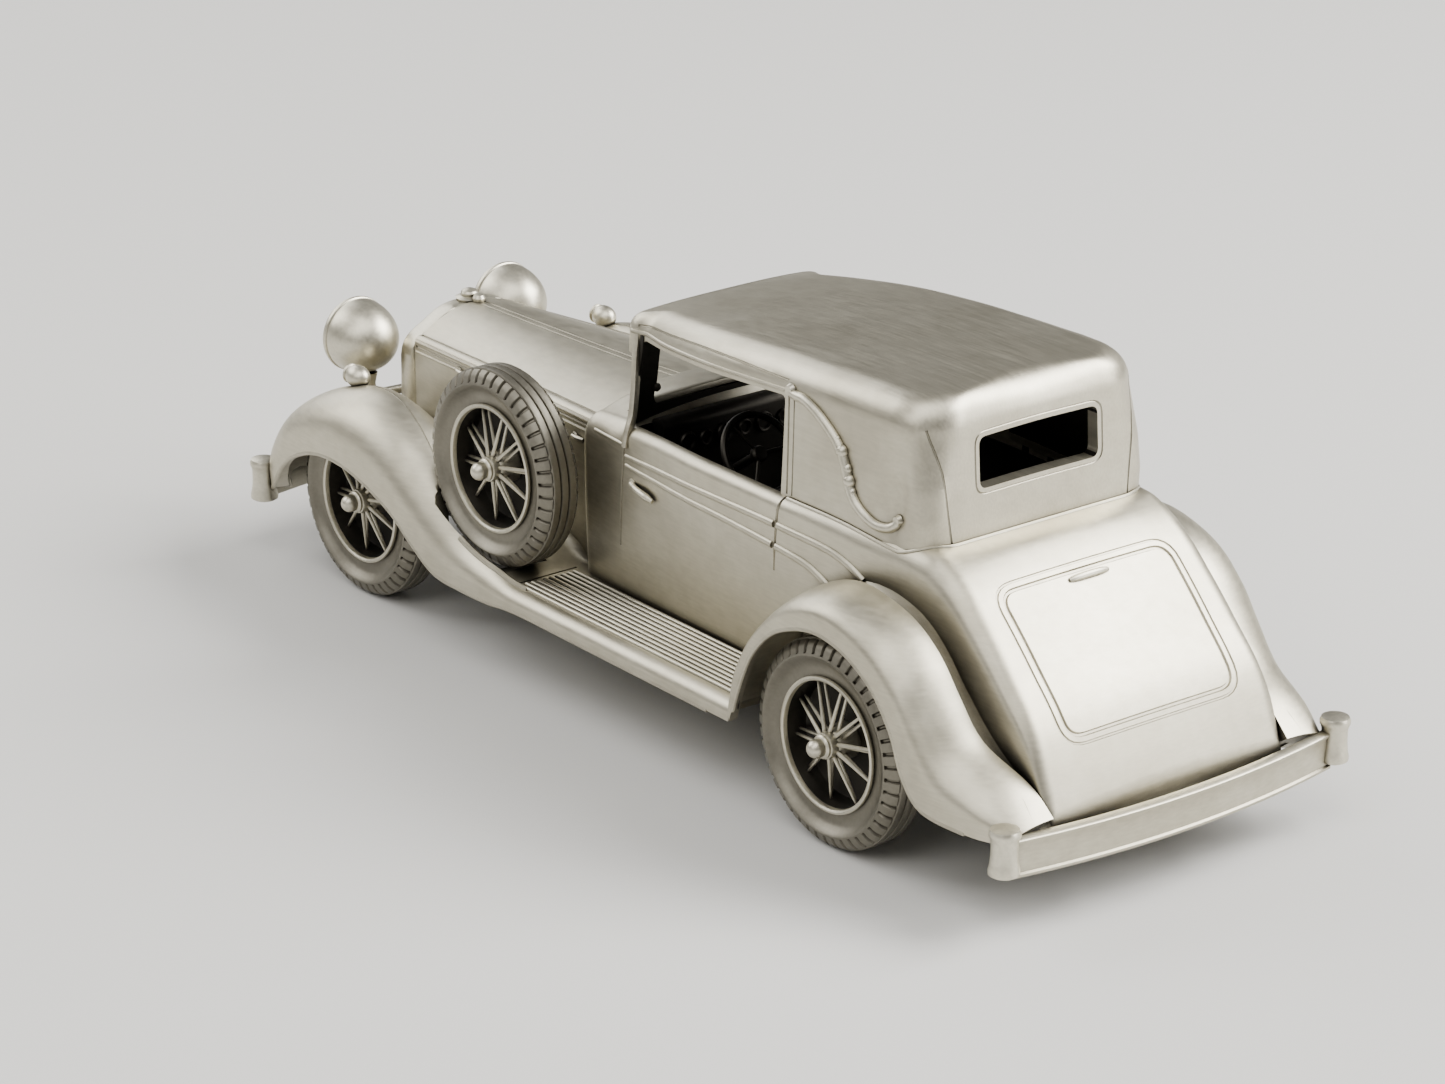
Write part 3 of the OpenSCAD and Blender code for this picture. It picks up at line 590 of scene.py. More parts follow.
def roof_part(inset=0.0, foot=ROOF_FOOT):
    """Walls that lean in, a round edge and a crowned top, narrowing to a line along the middle.
    The outer skin, with no inset, has a soft upright pleat gathered at each rear corner."""
    half = roof_plan(inset)
    run = np.concatenate([[0], np.cumsum(np.linalg.norm(np.diff(half, axis=0), axis=1))])
    from_corner = run - run[CORNER_POINT]
    # The pleat is a ridge at the corner with a hollow ahead of it.
    pleat = 0.5 * np.exp(-(from_corner / 1.5) ** 4) - 0.55 * np.exp(-((from_corner - 2.9) / 1.0) ** 2)
    ahead = np.gradient(half, axis=0)
    normal = np.stack([-ahead[:, 1], ahead[:, 0]], 1) / np.linalg.norm(ahead, axis=1)[:, None]
    fold = normal * (pleat * (inset == 0))[:, None]
    plan = np.vstack([half, half[-2:0:-1] * (1, -1)])
    fold = np.vstack([fold, fold[-2:0:-1] * (1, -1)])
    x = plan[:, 0]
    spine_rear, spine_front = -27, 0
    middle_x = np.clip(x, spine_rear, spine_front)
    out = plan - np.stack([middle_x, np.zeros_like(x)], 1)
    length = np.linalg.norm(out, axis=1)
    # The edge and the walls change over the rear panel, over the rear half and at the front.
    rearward = np.clip((-31 - x) / 3.5, 0, 1)
    squarer = np.clip((-20 - x) / 8, 0, 1)
    forward = np.clip((x - 4.5) / 2.2, 0, 1)
    radius = np.maximum(0.4, 2.8 + 0.2 * rearward - 1.4 * forward - inset)
    lean = 0.85 - 0.4 * squarer + 0.7 * rearward - 0.8 * forward

    def shrunk(by, folded):
        """The plan drawn in by a distance, with a share of its pleats."""
        share = 1 - by / length
        px, py = middle_x + out[:, 0] * share, out[:, 1] * share
        return px + fold[:, 0] * folded, py + fold[:, 1] * folded

    def level(px, py):
        """The height of the crowned top, which falls away to the sides."""
        fall = 0.6 - 0.45 * np.clip((-20 - px) / 8, 0, 1)
        return roof_crown(px) - inset - fall * (np.abs(py) / 12.5) ** 2.4

    edge = level(*shrunk(lean + radius, 0)) - radius
    rows = []
    for h in np.linspace(0, 1, 20):
        px, py = shrunk(lean * h ** 0.9, min(1.0, 2.2 * (1 - h), 0.2 + 3 * h))
        rows.append(np.stack([px, py, foot + (edge - foot) * h], 1))
    for a in np.radians(np.linspace(10, 90, 11)):
        px, py = shrunk(lean + radius * (1 - math.cos(a)), 0)
        rows.append(np.stack([px, py, edge + radius * math.sin(a)], 1))
    for share in np.linspace(1, 0, 15)[1:]:
        keep = share * (1 - (lean + radius) / length)
        px, py = middle_x + out[:, 0] * keep, out[:, 1] * keep
        rows.append(np.stack([px, py, level(px, py)], 1))
    verts, faces = skin(rows, caps=False)
    return verts, faces + [tuple(range(len(plan) - 1, -1, -1))]


roof = roof_part()
on_roof = Target(roof)
window_edge = [(-18.45, 20), (-17.65, 34.3), (4.4, 32.5), (4.4, 31), (14, 31), (14, 20)]
side_windows = slab(rounded(window_edge, 0.5, 4), (-30, 30))


def rear_opening(grow):
    """The outline of the rear window, on a plane behind the roof. grow takes it outside the opening."""
    behind = -40
    y, z0, z1 = 6.45 + grow, 29.9 - grow, 34.25 + grow
    return rounded([(behind, -y, z0), (behind, y, z0), (behind, y, z1), (behind, -y, z1)], 0.75 + grow, 6)


def roof_line(points, radius, sink=0.0, sides=6, direction=ACROSS):
    return tube(on_roof.drape(finely(points), direction, sink), radius, sides)


# The faces on the inner side of the roof shell, which take the nearly black finish as painted shade.
def inside_roof(centre):
    return on_roof.depth(centre) > 0.7


FORWARD = (1, 0, 0)
rear_cut = skin([rear_opening(0) + (dx, 0, 0) for dx in (0, 9)])
rear_line = tube(on_roof.drape(finely(rear_opening(0.45), closed=True), FORWARD), 0.1, 6, closed=True)
cant_line = roof_line(spline([(5.2, 0, 33.6), (0, 0, 34.3), (-8, 0, 35.2), (-17.8, 0, 35.6)], 8), 0.11)
pillar_lines = join(roof_line([(-18.85, 0, 26.2), (-18.1, 0, 34.6)], 0.12),
                    roof_line([(-19.5, 0, 26.2), (-18.8, 0, 34.4)], 0.09))
corner_line = roof_line([(0, 9.6, 26), (0, 10.3, 32), (0, 11, 35.5)], 0.11, direction=FORWARD)
piece("roof_cast", roof, "roof_pewter", ["roof"],
      cuts=[roof_part(1.25, 23.5), side_windows, rear_cut, rear_line,
            both_sides(join(cant_line, pillar_lines)), both_sides(corner_line)], dark=inside_roof)

drip_edge = spline([(5.9, 0, 33.0), (0, 0, 33.35), (-8, 0, 34.05), (-17.6, 0, 34.75)], 8)
drip = roof_line(drip_edge, 0.2, 0.05, 8)
seam_plan = roof_plan(-0.08)
seam_plan = finely(seam_plan[seam_plan[:, 0] < -19], 0.5)
seam = tube(on_body.drape([(x, y, 30) for x, y in seam_plan], DOWN), 0.16, 8)
piece("roof_drip_edge", both_sides(drip), "pewter", ["roof"])
piece("roof_seam_bead", both_sides(seam), "bright_pewter", ["roof"])


# ---- Wings and running boards ----

wing_outer = curve([(-51.9, 17), (-48, 18.4), (-42, 19.3), (-36, 19.5), (46, 19.3), (49, 18.8),
                    (51.3, 17.8), (52.4, 16.4)])
wing_inner = curve([(-51.9, 12.9), (-35, 12.9), (-26, 13.2), (-19, 12), (-8, 11.3), (8, 10.8), (12, 10.2),
                    (42.6, 7.4), (47, 7.7), (50, 9), (52.4, 12.2)])
# Where the crest lies between the inner and the outer edge, and how high the fillet climbs the body.
crest_share = curve([(-52, 0), (-50.6, 0.02), (-47.5, 0.14), (-43.5, 0.26), (-29, 0.27), (-24.5, 0.42),
                     (-20.5, 0.62), (-19, 0.84), (12.4, 0.84), (16.5, 0.7), (22, 0.6), (52.4, 0.6)])
root_height = curve([(-52, 0.05), (-50.4, 0.4), (-47, 2.0), (-43, 3.2), (-31, 3.0), (-26, 1.8), (-22, 0.9),
                     (-18.8, 0.12), (11.8, 0.12), (14, 1.2), (20, 1.2), (30, 0.8), (48, 0.5), (52.4, 0.2)])
# One row a station: inner edge x, z; crest x, z; outer edge x, z.
REAR_WING = [
    (-18.9, 9.2, -18.9, 9.4, -19.3, 7.6), (-19.2, 11.8, -19.4, 12.5, -20.4, 11.0),
    (-20.4, 14.9, -20.9, 15.7, -21.9, 14.3), (-22.5, 17.7, -23.2, 18.5, -24.2, 16.9),
    (-24.9, 19.8, -25.5, 20.6, -26.8, 18.3), (-27.6, 20.9, -28.0, 21.9, -29.6, 19.0),
    (-30.8, 21.1, -31.0, 22.5, -32.2, 18.85), (-34.0, 20.4, -34.6, 21.95, -34.9, 17.95),
    (-36.7, 19.3, -37.6, 20.9, -37.5, 16.2), (-39.1, 17.4, -40.2, 19.0, -39.6, 13.4),
    (-41.5, 14.7, -42.6, 16.2, -41.0, 10.2), (-44.5, 11.9, -45.2, 13.3, -43.2, 8.0),
    (-48.4, 10.2, -48.8, 11.3, -47.6, 7.4), (-50.3, 9.3, -50.5, 10.1, -50.2, 7.3),
    (-51.3, 8.3, -52.0, 8.8, -51.9, 7.2)]
FRONT_WING = [
    (-19.2, 9.15, -19.2, 9.2, -19.2, 7.5), (-9.0, 9.15, -9.0, 9.2, -9.0, 7.5),
    (1.0, 9.15, 1.0, 9.2, 1.0, 7.5), (9.0, 9.15, 9.0, 9.2, 9.0, 7.5),
    (12.4, 9.3, 12.4, 9.3, 12.4, 7.35), (15.2, 10.3, 15.5, 10.2, 15.0, 7.05),
    (18.5, 11.3, 19.5, 11.5, 19.0, 6.95), (22.5, 12.3, 23.5, 13.5, 23.0, 7.2),
    (26.3, 13.1, 27.5, 16.0, 26.4, 8.9), (30.0, 13.5, 31.0, 18.0, 29.6, 10.9),
    (34.0, 13.7, 34.6, 19.25, 33.6, 12.4), (38.0, 13.8, 38.2, 19.45, 37.6, 13.2),
    (42.0, 13.6, 42.0, 18.6, 41.5, 13.1), (45.5, 13.0, 45.6, 17.15, 44.8, 12.0),
    (48.4, 12.0, 48.6, 15.2, 47.4, 10.2), (50.4, 10.6, 50.6, 13.0, 49.4, 8.0),
    (51.6, 9.2, 51.8, 10.9, 50.9, 6.7), (52.2, 8.0, 52.3, 8.6, 51.9, 6.2)]
# A column of a wing's points, part of the way up to its crest.
CLIMB_COLUMN = 14


def wing_sheet(stations, shoulder, depth_share, crisp=False):
    """The outer face of a wing: a fillet off the body, up to the crest, round the shoulder and down to
    the edge. A crisp crest is a clean line along the wing; otherwise the climb rolls over it."""
    rows = []
    for xi, zi, xc, zc, xe, ze in spline(stations, 7):
        y_in, y_out, rise = wing_inner(xi), wing_outer(xe), root_height(xi)
        y_crest = y_in + (y_out - y_in) * crest_share(xc)
        y_low = y_in + min(0.75 * rise, 0.7 * (y_crest - y_in))
        a = np.linspace(0, math.pi / 2, 7)
        root_y = y_low - (y_low - y_in + 0.25) * np.cos(a)
        root = np.stack([np.full(7, xi), root_y, zi + rise * (1 - np.sin(a))], 1)
        t = np.linspace(0, 1, 12)[1:]
        lift = t if crisp else np.sin(t * math.pi / 2) ** 1.4
        climb = np.stack([xi + (xc - xi) * t, y_low + (y_crest - y_low) * t, zi + (zc - zi) * lift], 1)
        crest, fall = np.array([xc, y_crest, zc]), np.array([xe - xc, 0, ze - zc])
        share = min(shoulder / np.linalg.norm(fall), depth_share)
        b = np.linspace(0, math.pi / 2, 13)[1:, None]
        over = crest + fall * share * (1 - np.cos(b)) + np.array([0, y_out - y_crest, 0]) * np.sin(b)
        leg = crest + fall * np.linspace(share, 1, 7)[1:, None]
        leg[:, 1] = y_out
        rows.append(np.vstack([root, climb, over, leg]))
    return np.array(rows)


def thickened(rows, depth):
    """A sheet given a closed inner face, at a depth below it for each row."""
    normal = np.cross(np.gradient(rows, axis=0), np.gradient(rows, axis=1))
    normal /= np.linalg.norm(normal, axis=2)[:, :, None] + 1e-12
    if normal[len(rows) // 2, CLIMB_COLUMN, 2] > 0:
        normal = -normal
    under = rows + normal * depth[:, None, None]
    return skin([np.vstack([a, b[::-1]]) for a, b in zip(rows, under)])


SPARE = (17.2, 15.7, 18.5)
rear_rows = wing_sheet(REAR_WING, 3.2, 0.6, crisp=True)
front_rows = wing_sheet(FRONT_WING, 5.4, 0.68)
rear_depth = np.interp(rear_rows[:, CLIMB_COLUMN, 0], [-52, -50, -48], [2.0, 1.5, 0.9])
front_depth = np.interp(front_rows[:, CLIMB_COLUMN, 0], [49, 51, 52.3], [0.9, 1.4, 1.8])
rear_wing = thickened(rear_rows, rear_depth)
front_wing = thickened(front_rows, front_depth)
on_front = Target(skin(front_rows, around=False))
WELL_R = 9.2
spare_well = slab(arc((SPARE[0], SPARE[2]), WELL_R, 0, 360, 97)[:-1], (SPARE[1] - 2.35, SPARE[1] + 2.3))
board_line = block((12.3, 11.4, 9.05), (12.48, 18.1, 9.8))


def wing_line(points, radius, sink=0.0):
    """A line over the front wing, through (x, y, 0) points."""
    return tube(on_front.drape(finely(spline(points, 6)), DOWN, sink), radius, 8)


def edge_lip(edge):
    """A rolled lip just inside a wing's outer edge."""
    return tube(edge + (0, -0.15, 0), 0.22, 8)


def board_rib(y):
    """A rib along the running board, dipping into it at both ends."""
    start, end = -17.9, 11.2 + 0.055 * y
    low, high = 9.17, 9.22
    path = [(start, y, low), (start + 0.2, y, high), (end - 0.2, y, high), (end, y, low)]
    return tube(path, (0.12, 0.23, 0.23, 0.12), 12)


crease = wing_line([(40.3, 14.2, 0), (36, 14.4, 0), (31, 15.1, 0), (27, 15.9, 0)], 0.09)
well_lip = wing_line([(10.9, 17.85, 0), (13.5, 18.1, 0), (17.2, 18.2, 0), (20.6, 18.1, 0)], 0.3, 0.05)
lips = join(edge_lip(rear_rows[2:-14, -1]), edge_lip(front_rows[2:-2, -1]), well_lip)
ribs = join(*[board_rib(y) for y in np.arange(12.15, 17.9, 0.63)])
SIDES = [("left", lambda part: part), ("right", mirrored)]
for side, turn in SIDES:
    nodes = [f"wing_{side}"]
    piece(f"rear_wing_{side}", turn(rear_wing), "pewter", nodes, sharp=40)
    piece(f"front_wing_{side}", turn(front_wing), "pewter", nodes,
          cuts=[turn(spare_well), turn(crease), turn(board_line)], sharp=40)
    piece(f"wing_edges_{side}", turn(lips), "pewter", nodes)
    piece(f"running_board_ribs_{side}", turn(ribs), "bright_pewter", nodes)


# ---- Wheels ----

TYRE_R, TYRE_W, RIM_R = 9.0, 4.2, 5.75
LUGS = 46
REAR_Y, FRONT_Y = 16.7, 15.3


def tyre_part():
    """A tyre with ribs round its tread, blocks cut into both shoulders and hollow sidewalls."""
    half_tread = 1.28
    wall = [(RIM_R + 0.02, 1.32), (6.0, 1.3), (6.3, 1.27), (6.65, 1.32), (7.0, 1.5), (7.3, 1.8),
            (7.52, 2.03), (7.66, 2.1), (7.8, 2.07)]
    shoulder = [(7.92, 1.98), (8.25, 1.88), (8.55, 1.69), (8.78, 1.46), (8.88, half_tread + 0.04)]
    ribs = []
    rib, gap, groove_r = 0.62, 0.22, 8.8
    for i in (1, 0, -1):
        centre = i * (rib + gap)
        ribs += [(groove_r, centre + rib / 2 + 0.08), (TYRE_R - 0.03, centre + rib / 2),
                 (TYRE_R, centre + rib / 4), (TYRE_R, centre - rib / 4),
                 (TYRE_R - 0.03, centre - rib / 2), (groove_r, centre - rib / 2 - 0.08)]
    outer = wall + shoulder
    profile = outer + ribs + [(r, -w) for r, w in reversed(outer)]
    lug_points = np.array([7.85 < r < 8.95 and abs(w) > half_tread for r, w in profile])
    rows = []
    for k in range(LUGS):
        for stop, cut in ((0.0, 0), (0.1, 1), (0.22, 1), (0.34, 0), (0.66, 0)):
            a = 2 * math.pi * (k + stop) / LUGS
            p = np.array(profile)
            p[lug_points] *= (1 - 0.022 * cut, 1 - 0.08 * cut)
            r, w = p.T
            rows.append(np.stack([r * math.cos(a), w, r * math.sin(a)], 1))
    return skin(rows, along=True)


def wheel_part():
    """A rim lip, the dish behind it in a nearly black finish painted as shade, and two rings of wire spokes
    round a stepped hub.
    """
    half = TYRE_W / 2
    lip = lathe([(RIM_R, 1.3), (RIM_R + 0.1, 1.55), (RIM_R + 0.06, 1.72), (RIM_R - 0.12, 1.78),
                 (RIM_R - 0.28, 1.68), (RIM_R - 0.34, 1.45), (RIM_R - 0.34, 1.3), (RIM_R, 1.3)],
                segments=96)
    dish = lathe([(RIM_R, 1.4), (RIM_R - 0.3, 1.4), (RIM_R - 0.38, 1.1), (RIM_R - 0.5, 0.3),
                  (RIM_R - 0.75, -0.35), (4.3, -0.7), (2.5, -0.85), (1.2, -0.6), (0.82, -0.6), (0.82, -1.5),
                  (2.5, -1.7), (RIM_R - 0.5, -1.6), (RIM_R, -1.3), (RIM_R, 1.4)], segments=96)
    hub = lathe([(0.0, half - 0.12), (0.95, half - 0.12), (1.1, half - 0.2), (1.16, half - 0.4),
                 (1.12, half - 0.9), (1.28, half - 1.2), (1.35, 0.2), (1.55, -0.2), (1.6, -0.9),
                 (0.82, -0.9), (0.82, 0.9), (0.0, 0.9)], segments=48)
    count, slant = 20, math.radians(7)
    spokes = []
    for i in range(count):
        root = 2 * math.pi * i / count
        front = i % 2
        tip = root + (slant if front else -slant)
        start = half - 0.8 if front else half - 1.45
        path = [(r * math.cos(a), w, r * math.sin(a))
                for r, a, w in ((1.0, root, start), (RIM_R - 0.42, tip, 0.45 if front else 0.1))]
        spokes.append(tube(path, (0.19, 0.12), 8))
    return lip, dish, join(hub, *spokes)


def cap_part():
    """A domed cap with a collar, standing out of the hub."""
    base = TYRE_W / 2 - 0.15
    dome = arc((0, 0), 0.82, 4, 90, 9)
    collar = [(0, base), (1.0, base), (1.02, base + 0.2), (0.93, base + 0.32), (0.78, base + 0.38),
              (0.8, base + 0.7)]
    return lathe(collar + [(r, base + 0.74 + w) for r, w in dome], segments=40)


def placed(part, x, y, z, side):
    """A wheel's part with its outer face outwards, on the left (1) or the right (-1)."""
    return moved(part if side > 0 else mirrored(part), (x, side * y, z))


tyre = tyre_part()
rim, dish, hub = wheel_part()
cap = cap_part()
PLACES = [("spare", "root", *SPARE), ("front", "front_wheels", FRONT_AXLE, FRONT_Y, AXLE_Z),
          ("rear", "rear_wheels", REAR_AXLE, REAR_Y, AXLE_Z)]
for place, rides, x, y, z in PLACES:
    for side, sign in (("left", 1), ("right", -1)):
        # The dish behind the spokes takes the nearly black finish as painted shade.
        for kind, suffix, part, slot, sharp in (
                ("tyre", "tread", tyre, "tyre_pewter", 38), ("wheel", "rim", rim, "bright_pewter", 32),
                ("wheel", "dish", dish, "dark_pewter", 32), ("wheel", "spokes", hub, "bright_pewter", 32),
                ("cap", "dome", cap, "bright_pewter", 32)):
            node = f"spare_{kind}_{side}" if place == "spare" else f"{kind}_{place}_{side}"
            piece(f"{node}_{suffix}", placed(part, x, y, z, sign), slot, [node], rides, sharp=sharp)


# ---- Radiator ----

def radiator_outline(grow, foot):
    """(y, z) round the radiator: upright sides, round shoulders and a low arched top."""
    half, shoulder, top, arch = 7.35 + grow, 20.6 + grow, 23.6 + grow, 22.2 + grow
    left = [(half, foot), (half, 12), (half, shoulder - 1.2), (half - 0.25, shoulder - 0.2),
            (half - 1.0, shoulder + 0.7), (half - 2.4, arch - 0.1), (half - 4.6, top - 0.35), (0, top)]
    left = np.vstack([left[:3], spline(left[2:], 4)[1:]])
    return np.vstack([left, left[-2::-1] * (-1, 1)])


def radiator_shell():
    """The shell, with a lip round a recess that starts above its foot."""
    back, front, recess, recess_foot = 42.95, 45.2, 43.75, 11.3
    outside = [(back, -0.3), (back + 0.3, -0.02), (front - 0.5, 0), (front - 0.12, -0.14), (front, -0.5)]
    inside = [(front - 0.05, -0.95), (front - 0.3, -1.1), (recess, -1.15)]
    return skin([[(x, y, z) for y, z in radiator_outline(grow, foot)]
                 for steps, foot in ((outside, PLATE_Z), (inside, recess_foot)) for x, grow in steps])


piece("radiator_shell_cast", radiator_shell(), "bright_pewter", ["radiator_shell"], sharp=45)
slats = []
slat_x, slat_foot = 44.25, 11.6
for y in np.arange(-5.88, 5.9, 0.42):
    top = 22.0 - 1.1 * (abs(y) / 6) ** 2.5
    slats.append(tube([(slat_x, y, z) for z in (slat_foot, (slat_foot + top) / 2, top)], 0.17, 8))
# A nearly black plate behind the slats, painted shade for the recess of the grille.
grid_back = block((43.78, -6.15, 11.4), (44.2, 6.15, 21.0))
piece("radiator_slats", join(*slats), "bright_pewter", ["radiator_core"])
piece("radiator_grid_back", grid_back, "dark_pewter", ["radiator_core"], bevel=0.1)
piece("radiator_cap_turned", join(
    lathe([(0, 23.5), (1.25, 23.5), (1.3, 23.7), (1.05, 23.85), (0.8, 23.9), (0.82, 24.15), (0.7, 24.35),
           (0.35, 24.5), (0, 24.55)], "z", (44.1, 0, 0), 32),
    lathe([(0, 23.3), (0.55, 23.3), (0.62, 23.75), (0.45, 24.05), (0, 24.15)], "z", (42.6, 0, 0.25), 24)),
    "bright_pewter", ["radiator_cap"])


# ---- Lamps ----

LAMP = (50.2, 8.6, 20.1)


def headlamp():
    """A round bowl with a rim, on a short waisted stem."""
    r, deep = 3.5, 4.65
    bowl = [(r * math.cos(t) ** 0.94, -deep * math.sin(t)) for t in np.radians(np.linspace(90, 4, 22))]
    rim = [(r, -0.15), (r - 0.07, 0.0), (r + 0.06, 0.1), (r + 0.1, 0.3), (r + 0.02, 0.52), (r - 0.2, 0.66),
           (r - 0.42, 0.66), (r - 0.5, 0.5), (r - 0.52, 0.25), (0, 0.2)]
    stem = tube([(-2, 0, -3.2), (-2, 0, -4.2), (-2, 0, -5.0)], (0.75, 0.55, 0.6), 12)
    return moved(join(lathe(bowl + rim, "x", segments=72), stem), LAMP)


def headlamp_lens():
    """A domed lens with rings pressed into it."""
    r = 3.0
    dome = [(r * math.sin(t), 0.3 + 0.42 * math.cos(t)) for t in np.radians(np.linspace(0, 90, 16))]
    ripple = [(u, w + 0.035 * math.cos(u * 9)) for u, w in dome]
    return moved(lathe(ripple + [(r, 0.1), (0, 0.1)], "x", segments=72), LAMP)


def headlamp_bar():
    """A sagging bar under both lamps, with an arm at each end back to the wing."""
    x, z = LAMP[0] - 2, LAMP[2] - 5.35
    half, sag = 10.2, 0.35
    bar = tube([(x, y, z - sag * (1 - (y / half) ** 2)) for y in np.linspace(-half, half, 25)], 0.45, 12)
    arm = tube([(x, 10.0, z), (x - 1.2, 10.3, z - 0.3), (x - 3.4, 10.6, z - 1.3)], (0.5, 0.5, 0.6), 10)
    return join(bar, both_sides(arm))


def sidelamp():
    """A small ball with a lens at its front, on a stem."""
    ball = [(1.05 * math.sin(t), -1.4 * math.cos(t)) for t in np.radians(np.linspace(0, 132, 16))]
    ball += [(0.84, 0.98), (0.92, 1.12), (0.8, 1.28), (0.45, 1.38), (0, 1.4)]
    stem = tube([(0, 0, -1.7), (0, 0, -1.2), (0, 0, -0.6)], (0.85, 0.55, 0.5), 12)
    return moved(join(lathe(ball, "x", segments=40), stem), (42, 14.2, 19.4))


for side, turn in SIDES:
    piece(f"headlamp_bowl_{side}", turn(headlamp()), "bright_pewter", [f"headlamp_{side}"])
    piece(f"headlamp_glass_{side}", turn(headlamp_lens()), "bright_pewter", [f"headlamp_lens_{side}"])
    piece(f"sidelamp_ball_{side}", turn(sidelamp()), "bright_pewter", [f"sidelamp_{side}"])
piece("headlamp_tie_bar", headlamp_bar(), "pewter", ["headlamp_bar"])


# ---- Bumpers ----

def blade(x_end, z0, z1):
    """A bumper blade: a bowed bar with a flat top and a hollow face between two lips."""
    half, bow, depth = 17.6, 1.7, 1.1
    sign = 1 if x_end > 0 else -1
    reach = (half * half + bow * bow) / (2 * bow)
    section = [(0, z0 + 0.1), (0.1, z0), (0.95, z0), (1.06, z0 + 0.1), (1.06, z0 + 0.3), (0.86, z0 + 0.42),
               (0.8, z0 + 0.5 * (z1 - z0)), (0.86, z1 - 0.5), (1.04, z1 - 0.32), (1.06, z1 - 0.1),
               (0.96, z1), (0.08, z1), (0, z1 - 0.1)]
    rows = []
    for y in np.linspace(-half, half, 65):
        out = math.sqrt(reach * reach - y * y) - reach + bow
        tilt = y / reach
        rows.append([(x_end + sign * (out - depth + u), y + (u - depth) * tilt * 0.4, z)
                     for u, z in section])
    return skin(rows)


def overriders(x, y, z):
    """The turned uprights at both ends of a bumper, waisted between two rings."""
    top = 4.1
    profile = [(0, 0), (1.05, 0.0), (1.27, 0.14), (1.3, 0.45), (1.2, 0.9), (1.12, 1.5), (1.1, top * 0.5),
               (1.12, top - 1.2), (1.2, top - 0.85), (1.29, top - 0.7), (1.3, top - 0.4),
               (1.18, top - 0.14), (0.75, top - 0.02), (0, top)]
    return both_sides(lathe(profile, "z", (x, y, z), 40))


piece("front_bumper_blade", blade(52.6, 5.5, 8.2), "pewter", ["front_bumper"], sharp=50)
piece("rear_bumper_blade", blade(-52.6, 5.0, 8.3), "pewter", ["rear_bumper"], sharp=50)
piece("front_overriders_turned", overriders(52.4, 17.9, 5.1), "bright_pewter", ["front_overriders"])
piece("rear_overriders_turned", overriders(-52.2, 18.2, 5.5), "bright_pewter", ["rear_overriders"])


# ---- Windscreen, dashboard, steering and seats ----

def windscreen_frame():
    """Slim pillars from the roof's front corners down over the scuttle to the door, a rail and a header."""
    flat = rounded([(-0.32, -0.34), (0.32, -0.34), (0.32, 0.34), (-0.32, 0.34)], 0.2, 4)
    pillar = spline([(5.3, 9.95, 33.3), (5.0, 10.5, 31), (4.4, 11.1, 28.5), (3.85, 11.8, 26.2),
                     (3.65, 12.4, 24.9), (3.65, 12.72, 23.5)], 6)
    half, arch = 10.4, 0.3
    rail = [(4.7, y, 26.55 + arch * (1 - (y / half) ** 2)) for y in np.linspace(-half, half, 21)]
    header = [(4.2, y, 32.9) for y in np.linspace(-10.2, 10.2, 11)]
    return join(both_sides(sweep(pillar, flat)), sweep(rail, flat), sweep(header, flat))


def windscreen_posts():
    """The deep inner faces beside and below the glass, nearly black as painted shade, a plate below the
    rail put there as painted shade, and the knobs that clamp the frame.
    """
    edges = spline([(10.3, 8.2, 32.9), (10.5, 8.5, 31), (11.0, 8.8, 28.5), (11.3, 9.1, 27.1),
                    (11.5, 8.4, 26.4), (11.7, 5.0, 26.3)], 6)
    rear, front = 4.3, 4.75
    post = skin([[(rear, inner, z), (rear, outer, z), (front, outer, z), (front, inner, z)]
                 for outer, inner, z in edges])
    # A nearly black plate below the rail that paints the shade behind it.
    shade_plate = slab([(4.25, 26.5), (4.5, 26.5), (4.5, 24.9), (4.25, 24.9)], np.linspace(-11.3, 11.3, 9))
    knob = lathe([(0, -0.4), (0.3, -0.3), (0.42, 0), (0.3, 0.3), (0, 0.4)], "y", (4.35, 8.85, 27.95), 20)
    return join(shade_plate, both_sides(join(post, knob)))


def dashboard():
    """A rounded panel, and a row of ringed dials in two sizes."""
    outline = rounded([(1.9, 20.4), (3.55, 20.4), (3.55, 25.6), (2.6, 25.75), (1.9, 25.2)], 0.4, 4)
    dials = []
    for i, y in enumerate((-7.4, -5.4, -3.3, -1.1, 1.1, 3.3, 5.4, 7.4)):
        r = 0.8 if i % 2 else 0.62
        ring = [(0, -0.05), (r - 0.2, -0.05), (r - 0.12, -0.3), (r, -0.34), (r + 0.1, -0.2), (r + 0.1, 0.2)]
        dials.append(lathe(ring, "x", (1.85, y, 23.4), 24))
    return slab(outline, np.linspace(-9.9, 9.9, 5)), join(*dials)


def steering_wheel():
    """A ring and three arms round a hub, tilted back onto the end of the column."""
    place, tilt = (-5.6, 5.4, 24.0), math.radians(125)
    ring = tube([(x, y, 0) for x, y in arc((0, 0), 3.55, 0, 360, 49)[:-1]], 0.32, 10, closed=True)
    hub = lathe([(0, -0.35), (0.6, -0.32), (0.75, -0.1), (0.75, 0.3), (0.5, 0.36), (0, 0.36)], "z",
                segments=24)
    arms = [tube([(r * math.cos(a), r * math.sin(a), 0) for r in (0.5, 3.4)], 0.17, 8)
            for a in np.radians((30, 150, 270))]
    verts, faces = join(ring, hub, *arms)
    x, y, z = verts.T
    c, s = math.cos(tilt), math.sin(tilt)
    return moved((np.stack([x * c + z * s, y, -x * s + z * c], 1), faces), place)


